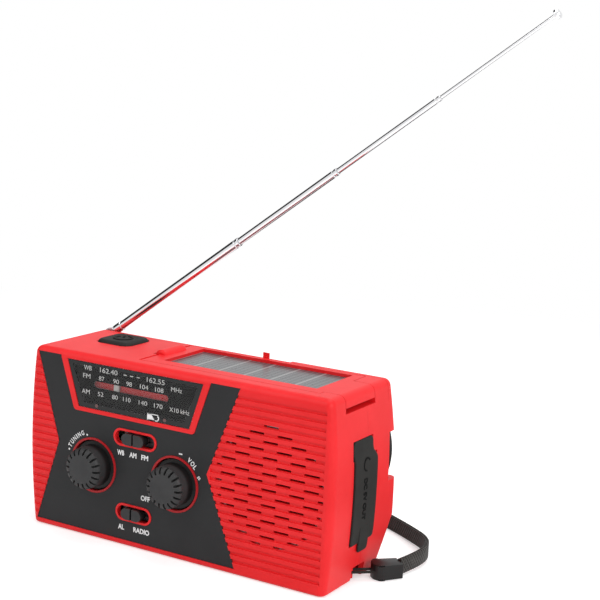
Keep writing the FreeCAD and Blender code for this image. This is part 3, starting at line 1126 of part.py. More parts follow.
def make_webbing():
    way, radii = rounded_route(WEBBING_ROUTE)
    print("webbing: length", round(way.Length, 1), "radii", radii)
    thick, tall = number("webbing_thick"), number("webbing_height")
    start = way.Edges[0].Vertexes[0].Point
    heading = way.Edges[0].tangentAt(0)
    side = V(-heading.y, heading.x, 0) * (thick / 2)
    corners = [start + side, start - side, start - side + V(0, 0, tall), start + side + V(0, 0, tall)]
    ring = Part.makePolygon(corners + corners[:1])
    solid = way.makePipeShell([ring], True, True)
    print("webbing volume", round(solid.Volume), "section times length", round(thick * tall * way.Length))
    shaped("strap_webbing", solid)


# ------------------------------------------------------------------ assemble
def main():
    outer, inner = make_case_forms()
    skin = cut("case_skin", outer, inner)
    tools = port_tools()
    notch = strap_notch()
    region, far_region = front_region("front_region", "seam_gap"), front_region("rear_bound", "0")
    make_front_shell(outer, skin, region, tools, notch)
    make_rear_shell(outer, skin, far_region, tools + [notch])
    make_battery_door(skin)
    make_panel()
    make_window()
    for name, x in KNOBS.items():
        make_knob(name, x)
    for name, (z, slot, cap) in SWITCHES.items():
        make_switch(name, z, slot, cap)
    make_board()
    make_pots()
    make_tuning_drive()
    make_crank_train()
    make_gear_plate()
    make_crank()
    make_speaker()
    make_button()
    make_lid(outer)
    make_port_cover()
    make_sockets()
    make_battery()
    make_torch()
    make_antenna()
    make_screws()
    make_strap()
    doc.recompute()
    write()


def write():
    """Check every object, then write one STEP file for each sub-part."""
    bad = [o.Label for o in doc.Objects if {"Invalid", "Error"} & set(o.State)]
    bad += [o.Label for o in kept if o.Shape.isNull() or not o.Shape.isValid()]
    if bad:
        raise RuntimeError("these objects failed: " + ", ".join(bad))
    os.makedirs("parts", exist_ok=True)
    for solid in kept:
        print(f"{solid.Label:20s} solids {len(solid.Shape.Solids)} volume {solid.Shape.Volume:9.1f}")
        solid.Shape.exportStep(f"parts/{solid.Label}.step")


main()
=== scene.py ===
# %% [markdown]
# # Emergency radio
# The CAD model is loaded first and stays as it is.  Every new piece is modelled around it, in metres,
# in the same frame: X to the right of the dial side, -Y out of the dial side, Z up.

# %% Load the frame
import json
import math

import bmesh
import bpy
from mathutils import Matrix, Vector


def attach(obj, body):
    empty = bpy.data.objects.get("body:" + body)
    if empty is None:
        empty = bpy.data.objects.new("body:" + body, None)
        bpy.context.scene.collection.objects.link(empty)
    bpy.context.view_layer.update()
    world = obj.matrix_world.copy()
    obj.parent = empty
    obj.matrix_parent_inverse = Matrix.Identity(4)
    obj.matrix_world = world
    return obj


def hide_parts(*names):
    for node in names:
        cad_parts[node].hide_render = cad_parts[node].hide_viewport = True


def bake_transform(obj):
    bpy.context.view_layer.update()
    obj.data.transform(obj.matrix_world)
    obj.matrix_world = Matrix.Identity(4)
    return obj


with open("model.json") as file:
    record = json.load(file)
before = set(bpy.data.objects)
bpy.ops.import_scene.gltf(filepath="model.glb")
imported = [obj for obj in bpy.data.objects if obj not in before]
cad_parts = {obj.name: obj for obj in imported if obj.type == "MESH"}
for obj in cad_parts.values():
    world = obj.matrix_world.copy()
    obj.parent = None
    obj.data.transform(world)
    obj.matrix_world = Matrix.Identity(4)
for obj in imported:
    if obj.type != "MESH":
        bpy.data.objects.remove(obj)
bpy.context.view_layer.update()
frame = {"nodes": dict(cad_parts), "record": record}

MM = 0.001
nodes = frame["nodes"]

# %% [markdown]
# ## Camera
# A long lens far to the right of the radio, looking slightly down, keeps the case's edges nearly
# parallel.  Its three axes are the columns of the matrix.

# %% Camera
LENS_MM = 86.146
SENSOR_MM = 36.0
RIGHT = (0.85573518, 0.51566094, 0.04255698)
UP = (-0.12911236, 0.13316396, 0.98264813)
BACK = (0.50104621, -0.84638121, 0.18053129)
PLACE = (0.325127, -0.478216, 0.210885)

camera_data = bpy.data.cameras.new("camera")
camera_data.lens = LENS_MM
camera_data.sensor_width = SENSOR_MM
camera = bpy.data.objects.new("camera", camera_data)
turn = Matrix((RIGHT, UP, BACK)).transposed().to_4x4()
camera.matrix_world = Matrix.Translation(PLACE) @ turn
bpy.context.scene.collection.objects.link(camera)
bpy.context.scene.camera = camera
print("camera at", PLACE)

# %% [markdown]
# ## Finishing a piece
# Each piece ends in the same way: its place goes into its mesh, it gets its material, and it rides on
# a body of the CAD model.

# %% Helpers for pieces


def clear_selection():
    """Nothing selected, out of edit mode."""
    if bpy.context.object and bpy.context.object.mode != "OBJECT":
        bpy.ops.object.mode_set(mode="OBJECT")
    bpy.ops.object.select_all(action="DESELECT")


def pick(piece):
    """Only this piece selected and active."""
    clear_selection()
    piece.select_set(True)
    bpy.context.view_layer.objects.active = piece


def settle(piece, name, body, material, stands_for=()):
    """Apply the piece's place, name and paint it; it rides on the body, if one is given."""
    pick(piece)
    bpy.ops.object.transform_apply(location=True, rotation=True, scale=True)
    piece.name = name
    piece.data.materials.clear()
    piece.data.materials.append(material)
    if body:
        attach(piece, body)
    if stands_for:
        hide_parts(*stands_for)
    clear_selection()
    return piece


def apply_all(piece):
    """Apply every modifier of a piece in turn."""
    pick(piece)
    for modifier in list(piece.modifiers):
        bpy.ops.object.modifier_apply(modifier=modifier.name)
    return piece


def join(pieces):
    """One mesh object out of several."""
    clear_selection()
    for piece in pieces:
        piece.select_set(True)
    bpy.context.view_layer.objects.active = pieces[0]
    bpy.ops.object.join()
    return bpy.context.object


def select_where(piece, wanted, kind="faces"):
    """In edit mode, select the faces or edges whose middle passes the test."""
    bpy.ops.mesh.select_mode(type="FACE" if kind == "faces" else "EDGE")
    bpy.ops.mesh.select_all(action="DESELECT")
    mesh = bmesh.from_edit_mesh(piece.data)
    for item in getattr(mesh, kind):
        middle = sum((v.co for v in item.verts), Vector()) / len(item.verts)
        item.select_set(bool(wanted(item, middle)))
    bmesh.update_edit_mesh(piece.data)


def block(low, high):
    """A cube primitive between two corners, in millimetres, with its place applied."""
    clear_selection()
    size = [(h - l) * MM for l, h in zip(low, high)]
    middle = [(h + l) / 2 * MM for l, h in zip(low, high)]
    bpy.ops.mesh.primitive_cube_add(size=1, location=middle, scale=size)
    piece = bpy.context.object
    bpy.ops.object.transform_apply(location=True, rotation=True, scale=True)
    return piece


# %% [markdown]
# ## Shared effects
# Moulded plastic is never one flat colour: it has faint blotches, a fine grain that breaks up the
# highlights, and pale rubbed edges.  Those effects are groups of nodes, built once, and placed in
# every material with its own values.

# %% Groups for blotches, grain and rubbed edges
OBJECT_COLOUR = "NodeSocketColor"
OBJECT_FLOAT = "NodeSocketFloat"


def new_group(name, inputs, outputs):
    """An empty shader node group with named sockets, and its two end nodes."""
    group = bpy.data.node_groups.new(name, "ShaderNodeTree")
    for label, kind in inputs:
        group.interface.new_socket(name=label, in_out="INPUT", socket_type=kind)
    for label, kind in outputs:
        group.interface.new_socket(name=label, in_out="OUTPUT", socket_type=kind)
    return group, group.nodes.new("NodeGroupInput"), group.nodes.new("NodeGroupOutput")


def add_node(tree, kind, settings=(), **sockets):
    """A node with its settings and its unlinked sockets set."""
    node = tree.nodes.new(kind)
    for key, value in dict(settings).items():
        setattr(node, key, value)
    for key, value in sockets.items():
        node.inputs[key.replace("_", " ")].default_value = value
    return node


def link(tree, source, target):
    tree.links.new(source, target)


def multiply_add(tree, value, by, plus):
    """value * by + plus; by and plus may be sockets or numbers."""
    node = add_node(tree, "ShaderNodeMath", {"operation": "MULTIPLY_ADD"})
    link(tree, value, node.inputs[0])
    for socket, given in ((node.inputs[1], by), (node.inputs[2], plus)):
        if isinstance(given, (int, float)):
            socket.default_value = given
        else:
            link(tree, given, socket)
    return node.outputs[0]


def mix_colours(tree, factor, first, second):
    """A colour between two, by a factor; colours may be sockets or values."""
    node = add_node(tree, "ShaderNodeMix", {"data_type": "RGBA"})
    link(tree, factor, node.inputs["Factor"])
    for index, given in ((6, first), (7, second)):
        if isinstance(given, tuple):
            node.inputs[index].default_value = given
        else:
            link(tree, given, node.inputs[index])
    return node.outputs[2]


def build_grain():
    """Blotches in the colour, a drifting roughness and a fine height."""
    group, start, end = new_group(
        "moulded grain",
        [("Colour", OBJECT_COLOUR), ("Shade", OBJECT_COLOUR), ("Blotch Scale", OBJECT_FLOAT),
         ("Grain Scale", OBJECT_FLOAT), ("Roughness", OBJECT_FLOAT),
         ("Roughness Spread", OBJECT_FLOAT)],
        [("Colour", OBJECT_COLOUR), ("Roughness", OBJECT_FLOAT), ("Height", OBJECT_FLOAT)])
    place = add_node(group, "ShaderNodeTexCoord")
    blotch = add_node(group, "ShaderNodeTexNoise", Detail=4.0, Roughness=0.6)
    grain = add_node(group, "ShaderNodeTexNoise", Detail=2.0, Roughness=0.5)
    for texture, scale in ((blotch, "Blotch Scale"), (grain, "Grain Scale")):
        link(group, place.outputs["Object"], texture.inputs["Vector"])
        link(group, start.outputs[scale], texture.inputs["Scale"])
    soft = add_node(group, "ShaderNodeMapRange", {"interpolation_type": "SMOOTHSTEP"},
                    From_Min=0.35, From_Max=0.7)
    link(group, blotch.outputs["Fac"], soft.inputs["Value"])
    colour = mix_colours(group, soft.outputs["Result"], start.outputs["Colour"], start.outputs["Shade"])
    link(group, colour, end.inputs["Colour"])
    drift = multiply_add(group, grain.outputs["Fac"], start.outputs["Roughness Spread"],
                         start.outputs["Roughness"])
    link(group, drift, end.inputs["Roughness"])
    link(group, grain.outputs["Fac"], end.inputs["Height"])
    return group


def build_wear():
    """Where edges are rubbed: high on sharp outer edges, broken up by noise."""
    group, start, end = new_group(
        "rubbed edges", [("Radius", OBJECT_FLOAT), ("Amount", OBJECT_FLOAT)], [("Mask", OBJECT_FLOAT)])
    rounded = add_node(group, "ShaderNodeBevel", {"samples": 6})
    link(group, start.outputs["Radius"], rounded.inputs["Radius"])
    flat = add_node(group, "ShaderNodeNewGeometry")
    turned = add_node(group, "ShaderNodeVectorMath", {"operation": "DOT_PRODUCT"})
    link(group, rounded.outputs["Normal"], turned.inputs[0])
    link(group, flat.outputs["Normal"], turned.inputs[1])
    sharp = add_node(group, "ShaderNodeMapRange", From_Min=0.995, From_Max=0.86)
    link(group, turned.outputs["Value"], sharp.inputs["Value"])
    place = add_node(group, "ShaderNodeTexCoord")
    broken = add_node(group, "ShaderNodeTexNoise", Scale=260.0, Detail=3.0)
    link(group, place.outputs["Object"], broken.inputs["Vector"])
    both = add_node(group, "ShaderNodeMath", {"operation": "MULTIPLY"})
    link(group, sharp.outputs["Result"], both.inputs[0])
    link(group, broken.outputs["Fac"], both.inputs[1])
    weighed = add_node(group, "ShaderNodeMath", {"operation": "MULTIPLY", "use_clamp": True})
    link(group, both.outputs[0], weighed.inputs[0])
    link(group, start.outputs["Amount"], weighed.inputs[1])
    link(group, weighed.outputs[0], end.inputs["Mask"])
    return group


GRAIN = build_grain()
WEAR = build_wear()
print("groups", GRAIN.name, "and", WEAR.name)

# %% [markdown]
# ## Finishes
# One function builds a moulded or metal finish out of the shared groups.  The table after it gives
# each finish its colour, its shade in the blotches, how rough it is, and how strongly the grain lifts
# the surface.  Numbers that are the same all over stay on the shader's own sockets.

# %% One finish out of the groups


def rgba(colour):
    return (*colour, 1.0)


def finish(name, colour, shade, rough, spread=0.1, blotch=60.0, grain=2500.0, bump=0.06, wear=0.25,
           worn=None, radius=0.0004, **sockets):
    """A procedural material; further keyword arguments go straight onto the Principled sockets."""
    material = bpy.data.materials.new(name)
    material.use_nodes = True
    tree = material.node_tree
    shader = tree.nodes["Principled BSDF"]
    for key, value in sockets.items():
        shader.inputs[key.replace("_", " ")].default_value = value
    look = add_node(tree, "ShaderNodeGroup", {"node_tree": GRAIN})
    look.inputs["Colour"].default_value = rgba(colour)
    look.inputs["Shade"].default_value = rgba(shade)
    look.inputs["Blotch Scale"].default_value = blotch
    look.inputs["Grain Scale"].default_value = grain
    look.inputs["Roughness"].default_value = rough
    look.inputs["Roughness Spread"].default_value = spread
    edges = add_node(tree, "ShaderNodeGroup", {"node_tree": WEAR})
    edges.inputs["Radius"].default_value = radius
    edges.inputs["Amount"].default_value = wear
    pale = rgba(worn or tuple(min(1.0, c * 1.35 + 0.03) for c in colour))
    painted = mix_colours(tree, edges.outputs["Mask"], look.outputs["Colour"], pale)
    link(tree, painted, shader.inputs["Base Color"])
    link(tree, look.outputs["Roughness"], shader.inputs["Roughness"])
    relief = add_node(tree, "ShaderNodeBump", Strength=bump, Distance=0.0002)
    link(tree, look.outputs["Height"], relief.inputs["Height"])
    link(tree, relief.outputs["Normal"], shader.inputs["Normal"])
    return material


# %% Painted shade where a piece is sunk in a well


def paint_shade_along_depth(material, from_y, to_y, colour):
    """Mix the base colour towards another between two depths behind the front, as painted shade."""
    tree = material.node_tree
    shader = tree.nodes["Principled BSDF"]
    base = shader.inputs["Base Color"].links[0].from_socket
    place = add_node(tree, "ShaderNodeTexCoord")
    split = add_node(tree, "ShaderNodeSeparateXYZ")
    link(tree, place.outputs["Object"], split.inputs["Vector"])
    deep = add_node(tree, "ShaderNodeMapRange", {"interpolation_type": "SMOOTHSTEP"},
                    From_Min=from_y * MM, From_Max=to_y * MM)
    link(tree, split.outputs["Y"], deep.inputs["Value"])
    link(tree, mix_colours(tree, deep.outputs["Result"], base, rgba(colour)),
         shader.inputs["Base Color"])


# %% The table of finishes
RED = (0.815, 0.016, 0.020)
FINISHES = {
    "case_red": finish("red case plastic", RED, (0.765, 0.012, 0.015), 0.40, 0.12, 45, 3500, 0.05, 0.30,
                       worn=(0.86, 0.06, 0.065), Specular_IOR_Level=0.27),
    "panel_black": finish("matt panel plastic", (0.0175, 0.0180, 0.0190), (0.0145, 0.0145, 0.0155),
                          0.52, 0.12,
                          55, 4200, 0.08, 0.25, worn=(0.06, 0.06, 0.062), Specular_IOR_Level=0.25),
    "scale_print": finish("dial mask", (0.006, 0.006, 0.0065), (0.009, 0.009, 0.0095), 0.45, 0.1, 80,
                          3000,
                          0.04, 0.1, worn=(0.02, 0.02, 0.02), Specular_IOR_Level=0.2),
    "knob_black": finish("knob plastic", (0.036, 0.036, 0.037), (0.029, 0.029, 0.030), 0.46, 0.14,
                         120, 3800, 0.12, 0.6, worn=(0.11, 0.11, 0.105), Specular_IOR_Level=0.27),
    "slider_black": finish("slider plastic", (0.026, 0.026, 0.027), (0.018, 0.018, 0.019), 0.36, 0.12,
                           150, 3800, 0.08, 0.5, worn=(0.08, 0.08, 0.078), Specular_IOR_Level=0.3),
    "gear_white": finish("gear nylon", (0.72, 0.71, 0.66), (0.62, 0.61, 0.56), 0.38, 0.12, 90, 2200,
                         0.04, 0.3),
    "board_green": finish("board lacquer", (0.02, 0.16, 0.06), (0.015, 0.11, 0.045), 0.34, 0.1, 200,
                          1500, 0.05, 0.3),
    "part_grey": finish("small part plastic", (0.20, 0.20, 0.21), (0.15, 0.15, 0.16), 0.45, 0.12, 140,
                        2600, 0.06, 0.3),
    "steel": finish("turned steel", (0.55, 0.55, 0.56), (0.45, 0.45, 0.47), 0.26, 0.16, 220, 5200, 0.04,
                    0.2,
                    Metallic=1.0),
    "chrome": finish("polished chrome", (0.80, 0.80, 0.81), (0.73, 0.73, 0.75), 0.06, 0.06, 90, 1800,
                     0.012, 0.1,
                     Metallic=1.0),
    "magnet_grey": finish("magnet iron", (0.12, 0.12, 0.12), (0.08, 0.08, 0.08), 0.55, 0.2, 160, 2400,
                          0.12, 0.4),
    "paper_black": finish("cone paper", (0.022, 0.021, 0.020), (0.032, 0.030, 0.028), 0.8, 0.15, 300,
                          1800, 0.3, 0.1),
    "rubber_dark": finish("dark rubber", (0.020, 0.0195, 0.0180), (0.016, 0.0155, 0.0145), 0.58, 0.16,
                          90, 4200, 0.12, 0.3, worn=(0.055, 0.054, 0.050), Specular_IOR_Level=0.18),
    "lamp_white": finish("milky diffuser", (0.88, 0.88, 0.84), (0.82, 0.82, 0.78), 0.3, 0.1, 100, 900,
                         0.03, 0.1),
    "battery_wrap": finish("battery wrap", (0.03, 0.09, 0.24), (0.025, 0.07, 0.19), 0.3, 0.1, 120, 900,
                           0.04, 0.3),
    "webbing": finish("strap cord", (0.016, 0.015, 0.013), (0.030, 0.027, 0.024), 0.7, 0.15, 900, 5000,
                      0.4, 0.0,
                      Specular_IOR_Level=0.2),
}
# Painted shade: the knobs turn near black deep in their wells, and the slider deep in its slot.
paint_shade_along_depth(FINISHES["knob_black"], -28.6, -26.6, (0.004, 0.0037, 0.0037))
paint_shade_along_depth(FINISHES["slider_black"], -26.2, -25.4, (0.006, 0.006, 0.006))
print("finishes", len(FINISHES))

# %% [markdown]
# ## Clear and coated surfaces
# The dial window is smoky clear plastic over a black mask.  The solar cell is a dark coated sheet cut
# into narrow strips under clear resin, so its strips and their bright collecting lines come from
# bands along X.  Glass keeps a plain Metallic and Transmission Weight on its sockets.

# %% Window, lens and solar cell
FINISHES["window_clear"] = finish(
    "smoky window", (0.88, 0.86, 0.87), (0.82, 0.80, 0.81), 0.04, 0.06, 40, 700, 0.012, 0.1,
    worn=(0.85, 0.85, 0.85),
    Transmission_Weight=1.0, IOR=1.34)
FINISHES["lens_clear"] = finish(
    "clear lens", (0.95, 0.97, 1.0), (0.90, 0.93, 0.97), 0.03, 0.05, 60, 700, 0.015, 0.05,
    Transmission_Weight=1.0, IOR=1.49)


WINDOW_BLACK = finish("black print behind the window", (0.008, 0.008, 0.0085), (0.006, 0.006, 0.0065),
                      0.06, 0.06,
                      60, 900, 0.01, 0.0, Specular_IOR_Level=0.30)


def bands(tree, coordinate, pitch, phase, width):
    """A mask of thin lines, one every pitch along a coordinate."""
    moved = add_node(tree, "ShaderNodeMath", {"operation": "ADD"})
    link(tree, coordinate, moved.inputs[0])
    moved.inputs[1].default_value = phase
    wrapped = add_node(tree, "ShaderNodeMath", {"operation": "PINGPONG"})
    link(tree, moved.outputs[0], wrapped.inputs[0])
    wrapped.inputs[1].default_value = pitch / 2
    line = add_node(tree, "ShaderNodeMapRange", {"interpolation_type": "SMOOTHSTEP"},
                    From_Min=width, From_Max=width * 0.5)
    link(tree, wrapped.outputs[0], line.inputs["Value"])
    return line.outputs["Result"]


def solar_finish():
    """Grey coated strips, faint fingers and brighter joints under clear resin."""
    material = finish("solar cell", (0.060, 0.066, 0.072), (0.048, 0.053, 0.060), 0.24, 0.10, 70, 1400,
                      0.03, 0.2,
                      worn=(0.16, 0.16, 0.16), Specular_IOR_Level=0.5)
    tree = material.node_tree
    shader = tree.nodes["Principled BSDF"]
    base = shader.inputs["Base Color"].links[0].from_socket
    place = add_node(tree, "ShaderNodeTexCoord")
    split = add_node(tree, "ShaderNodeSeparateXYZ")
    link(tree, place.outputs["Object"], split.inputs["Vector"])
    fingers = bands(tree, split.outputs["X"], 0.0024, 0.0, 0.00045)
    joints = bands(tree, split.outputs["X"], 0.0121, 0.0023, 0.0007)
    fine = mix_colours(tree, fingers, base, (0.11, 0.12, 0.125, 1.0))
    strips = mix_colours(tree, joints, fine, (0.24, 0.25, 0.25, 1.0))
    link(tree, strips, shader.inputs["Base Color"])
    return material


FINISHES["solar_grey"] = solar_finish()
print("finishes", len(FINISHES))

# %% [markdown]
# ## Lips round the knobs
# The two thin lips that stand round the knobs' wells, moulded with the case, are darkened with
# painted shade.  A distance from each knob's axis, measured in the plane of the front, mixes the colour.

# %% Painted shade on the lips round the two knobs
TUNING_AT, VOLUME_AT = (-39.9, 31.4), (1.5, 31.4)
LIP_REACH_MM, LIP_FADE_MM = 12.1, 0.2
# Painted shade: the dark red that the two lips are mixed towards.
LIP_SHADE_RED = (0.42, 0.010, 0.014)


def paint_lip_shade():
    """The case's red, darkened with painted shade on the two lips that stand round the knobs' wells."""
    material = FINISHES["case_red"].copy()
    material.name = "red case plastic with painted lip shade"
    tree = material.node_tree
    shader = tree.nodes["Principled BSDF"]
    base = shader.inputs["Base Color"].links[0].from_socket
    place = add_node(tree, "ShaderNodeTexCoord")
    split = add_node(tree, "ShaderNodeSeparateXYZ")
    link(tree, place.outputs["Object"], split.inputs["Vector"])
    flat = add_node(tree, "ShaderNodeCombineXYZ")
    link(tree, split.outputs["X"], flat.inputs["X"])
    link(tree, split.outputs["Z"], flat.inputs["Z"])
    for x, z in (TUNING_AT, VOLUME_AT):
        apart = add_node(tree, "ShaderNodeVectorMath", {"operation": "DISTANCE"})
        link(tree, flat.outputs["Vector"], apart.inputs[0])
        apart.inputs[1].default_value = (x * MM, 0, z * MM)
        inside = add_node(tree, "ShaderNodeMapRange", {"interpolation_type": "SMOOTHSTEP"},
                          From_Min=(LIP_REACH_MM + LIP_FADE_MM) * MM, From_Max=LIP_REACH_MM * MM)
        link(tree, apart.outputs["Value"], inside.inputs["Value"])
        base = mix_colours(tree, inside.outputs["Result"], base, rgba(LIP_SHADE_RED))
    link(tree, base, shader.inputs["Base Color"])
    return material


PAINTED = {"front_shell": paint_lip_shade()}

# %% [markdown]
# ## Painting the CAD nodes
# Each node of the model takes the finish that its material slot names.  The front half of the case
# takes the copy with painted shade on the lips.

# %% Paint the CAD nodes
for part in frame["record"]["subparts"]:
    node = nodes[part["node"]]
    node.data.materials.clear()
    node.data.materials.append(PAINTED.get(part["node"], FINISHES[part["material_slot"]]))

# %% [markdown]
# ## Wrist strap
# A thin cord is looped round a bar in the case's lower corner and held in a moulded clasp.  From the
# clasp a woven webbing, folded double, stands on its edge and goes round behind the case.  Both are
# NURBS lines through a few given points, since a cord has no corners.

# %% Strap cord
CORD_RADIUS_MM = 0.55
CORD_ROUTE_MM = [(79.471, 10.237), (71.6, 3.48), (68.101, 0.475), (70.225, -1.999), (73.7, 0.99),
                 (81.595, 7.763)]
CORD_HEIGHT_MM = 3.1


def nurbs_line(name, route, heights):
    """An open quadratic NURBS through-line with these control points, each at its height."""
    curve = bpy.data.curves.new(name, "CURVE")
    curve.dimensions = "3D"
    spline = curve.splines.new("NURBS")
    spline.points.add(len(route) - 1)
    for point, (x, y), height in zip(spline.points, route, heights):
        point.co = (x * MM, y * MM, height * MM, 1.0)
    spline.order_u = 3
    spline.use_endpoint_u = True
    curve.resolution_u = 12
    piece = bpy.data.objects.new(name, curve)
    bpy.context.scene.collection.objects.link(piece)
    return piece


strap_cord = nurbs_line("wrist_cord", CORD_ROUTE_MM, [CORD_HEIGHT_MM] * len(CORD_ROUTE_MM))
strap_cord.data.bevel_depth = CORD_RADIUS_MM * MM
strap_cord.data.bevel_resolution = 4
strap_cord.data.materials.append(FINISHES["webbing"])
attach(strap_cord, "case")
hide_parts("strap_cord")
print("cord points", len(CORD_ROUTE_MM))

# %% Woven finish for the webbing


def build_weave():
    """Ribs across the webbing and threads along it, from the strip's own UV map in metres."""
    group, start, end = new_group(
        "woven strip", [("Pitch", OBJECT_FLOAT)], [("Shade", OBJECT_FLOAT), ("Height", OBJECT_FLOAT)])
    place = add_node(group, "ShaderNodeTexCoord")
    split = add_node(group, "ShaderNodeSeparateXYZ")
    link(group, place.outputs["UV"], split.inputs["Vector"])
    waves = []
    for axis, stretch in (("X", 1.0), ("Y", 1.6)):
        turns = add_node(group, "ShaderNodeMath", {"operation": "DIVIDE"})
        link(group, split.outputs[axis], turns.inputs[0])
        link(group, start.outputs["Pitch"], turns.inputs[1])
        angle = add_node(group, "ShaderNodeMath", {"operation": "MULTIPLY"})
        link(group, turns.outputs[0], angle.inputs[0])
        angle.inputs[1].default_value = math.tau / stretch
        waves.append(angle.outputs[0])
    total = add_node(group, "ShaderNodeMath", {"operation": "ADD"})
    apart = add_node(group, "ShaderNodeMath", {"operation": "SUBTRACT"})
    sines = []
    for node in (total, apart):
        link(group, waves[0], node.inputs[0])
        link(group, waves[1], node.inputs[1])
        wave = add_node(group, "ShaderNodeMath", {"operation": "SINE"})
        link(group, node.outputs[0], wave.inputs[0])
        sines.append(wave.outputs[0])
    both = add_node(group, "ShaderNodeMath", {"operation": "MAXIMUM"})
    link(group, sines[0], both.inputs[0])
    link(group, sines[1], both.inputs[1])
    level = multiply_add(group, both.outputs[0], 0.5, 0.5)
    link(group, level, end.inputs["Height"])
    # The same level also goes out as Shade, which the webbing uses to paint shade in the gaps.
    link(group, level, end.inputs["Shade"])
    return group


WEAVE = build_weave()


def woven_finish():
    """Black-brown threads: painted shade makes them dark in the gaps; greyer and shinier on their
    crowns.
    """
    material = bpy.data.materials.new("woven webbing")
    material.use_nodes = True
    tree = material.node_tree
    shader = tree.nodes["Principled BSDF"]
    shader.inputs["Sheen Weight"].default_value = 0.08
    weave = add_node(tree, "ShaderNodeGroup", {"node_tree": WEAVE})
    weave.inputs["Pitch"].default_value = 0.0015
    grain = add_node(tree, "ShaderNodeGroup", {"node_tree": GRAIN})
    shader.inputs["Specular IOR Level"].default_value = 0.2
    for key, value in (("Colour", rgba((0.032, 0.028, 0.025))), ("Shade", rgba((0.052, 0.046, 0.041))),
                       ("Blotch Scale", 160.0), ("Grain Scale", 6000.0), ("Roughness", 0.45),
                       ("Roughness Spread", 0.25)):
        grain.inputs[key].default_value = value
    # Painted shade: the colour falls to near black where the weave is low, in the gaps between threads.
    colour = mix_colours(tree, weave.outputs["Shade"], (0.006, 0.0055, 0.005, 1.0),
                         grain.outputs["Colour"])
    link(tree, colour, shader.inputs["Base Color"])
    link(tree, grain.outputs["Roughness"], shader.inputs["Roughness"])
    relief = add_node(tree, "ShaderNodeBump", Strength=0.8, Distance=0.0004)
    link(tree, weave.outputs["Height"], relief.inputs["Height"])
    link(tree, relief.outputs["Normal"], shader.inputs["Normal"])
    return material


WOVEN = woven_finish()
print("group", WEAVE.name)

# %% Webbing swept along its line
WEBBING_ROUTE_MM = [(84.6, 15.2), (86.9, 24.0), (87.2, 34.5), (82.0, 44.9), (71.4, 52.9), (58.0, 61.5),
                    (42.0, 69.5), (26.0, 71.0), (12.0, 66.0)]
WEBBING_HEIGHTS_MM = [3.7, 4.1, 4.4, 4.1, 3.6, 3.2, 3.2, 3.2, 3.2]
WEBBING_TALL_MM = 6.4
PLY_MM = 1.0
GROOVE_MM = 0.12


def line_points(route, heights):
    """Points of the smooth line, read from a NURBS curve without a bevel."""
    guide = nurbs_line("guide", route, heights)
    mesh = bpy.data.meshes.new_from_object(guide)
    points = [v.co.copy() for v in mesh.vertices]
    curve = guide.data
    bpy.data.objects.remove(guide)
    bpy.data.curves.remove(curve)
    bpy.data.meshes.remove(mesh)
    return points


def ply_profile():
    """Two plies side by side with round edges: (across, up) corners in millimetres, once round."""
    tall, edge = WEBBING_TALL_MM / 2, 0.32
    right = [(GROOVE_MM, -tall + 0.4), (0.35, -tall), (PLY_MM - edge, -tall), (PLY_MM, -tall + edge),
             (PLY_MM, -tall / 3), (PLY_MM, tall / 3),
             (PLY_MM, tall - edge), (PLY_MM - edge, tall), (0.35, tall), (GROOVE_MM, tall - 0.4)]
    return right + [(-u, v) for u, v in reversed(right)]


def sweep(points, profile):
    """A closed mesh with the profile at every point and UVs in metres along and across."""
    mesh = bmesh.new()
    uv = mesh.loops.layers.uv.new("UVMap")
    rings, reach = [], [0.0]
    for before, after in zip(points, points[1:]):
        reach.append(reach[-1] + (after - before).length)
    girth = [0.0]
    for a, b in zip(profile, profile[1:] + profile[:1]):
        girth.append(girth[-1] + math.dist(a, b) * MM)
    for i, point in enumerate(points):
        way = (points[min(i + 1, len(points) - 1)] - points[max(i - 1, 0)]).normalized()
        side = Vector((-way.y, way.x, 0.0)).normalized()
        rings.append([mesh.verts.new(point + side * u * MM + Vector((0, 0, v * MM))) for u,
                      v in profile])
    count = len(profile)
    for i in range(len(rings) - 1):
        for k in range(count):
            corners = ((i, k), (i + 1, k), (i + 1, k + 1), (i, k + 1))
            face = mesh.faces.new([rings[a][b % count] for a, b in corners])
            for loop, (a, b) in zip(face.loops, corners):
                loop[uv].uv = (reach[a], girth[b])
    mesh.faces.new(rings[0])
    mesh.faces.new(list(reversed(rings[-1])))
    bmesh.ops.recalc_face_normals(mesh, faces=mesh.faces)
    data = bpy.data.meshes.new("sweep")
    mesh.to_mesh(data)
    mesh.free()
    piece = bpy.data.objects.new("sweep", data)
    bpy.context.scene.collection.objects.link(piece)
    return piece


webbing_line = line_points(WEBBING_ROUTE_MM, WEBBING_HEIGHTS_MM)
webbing = sweep(webbing_line, ply_profile())
pick(webbing)
bpy.ops.object.shade_smooth_by_angle(angle=math.radians(50))
webbing = settle(webbing, "wrist_webbing", "case", WOVEN, ["strap_webbing"])

# %% [markdown]
# ## Clasp
# The clasp is a small moulded bullet: round at the cord's end, flat where the webbing enters.  A cube
# is scaled, the two upright edges of its nose are bevelled to a half-round, an oval pad is raised in
# its top and a shallow panel sunk in each side, and a last bevel softens all its edges.

# %% Clasp
CLASP_AT_MM = (80.9, 10.6)
CLASP_TURN = math.radians(50)
CLASP_SIZE_MM = (12.0, 9.0, 6.2)
CLASP_TAPER = 7.6 / 9.0
NOSE_ROUND = 0.0038


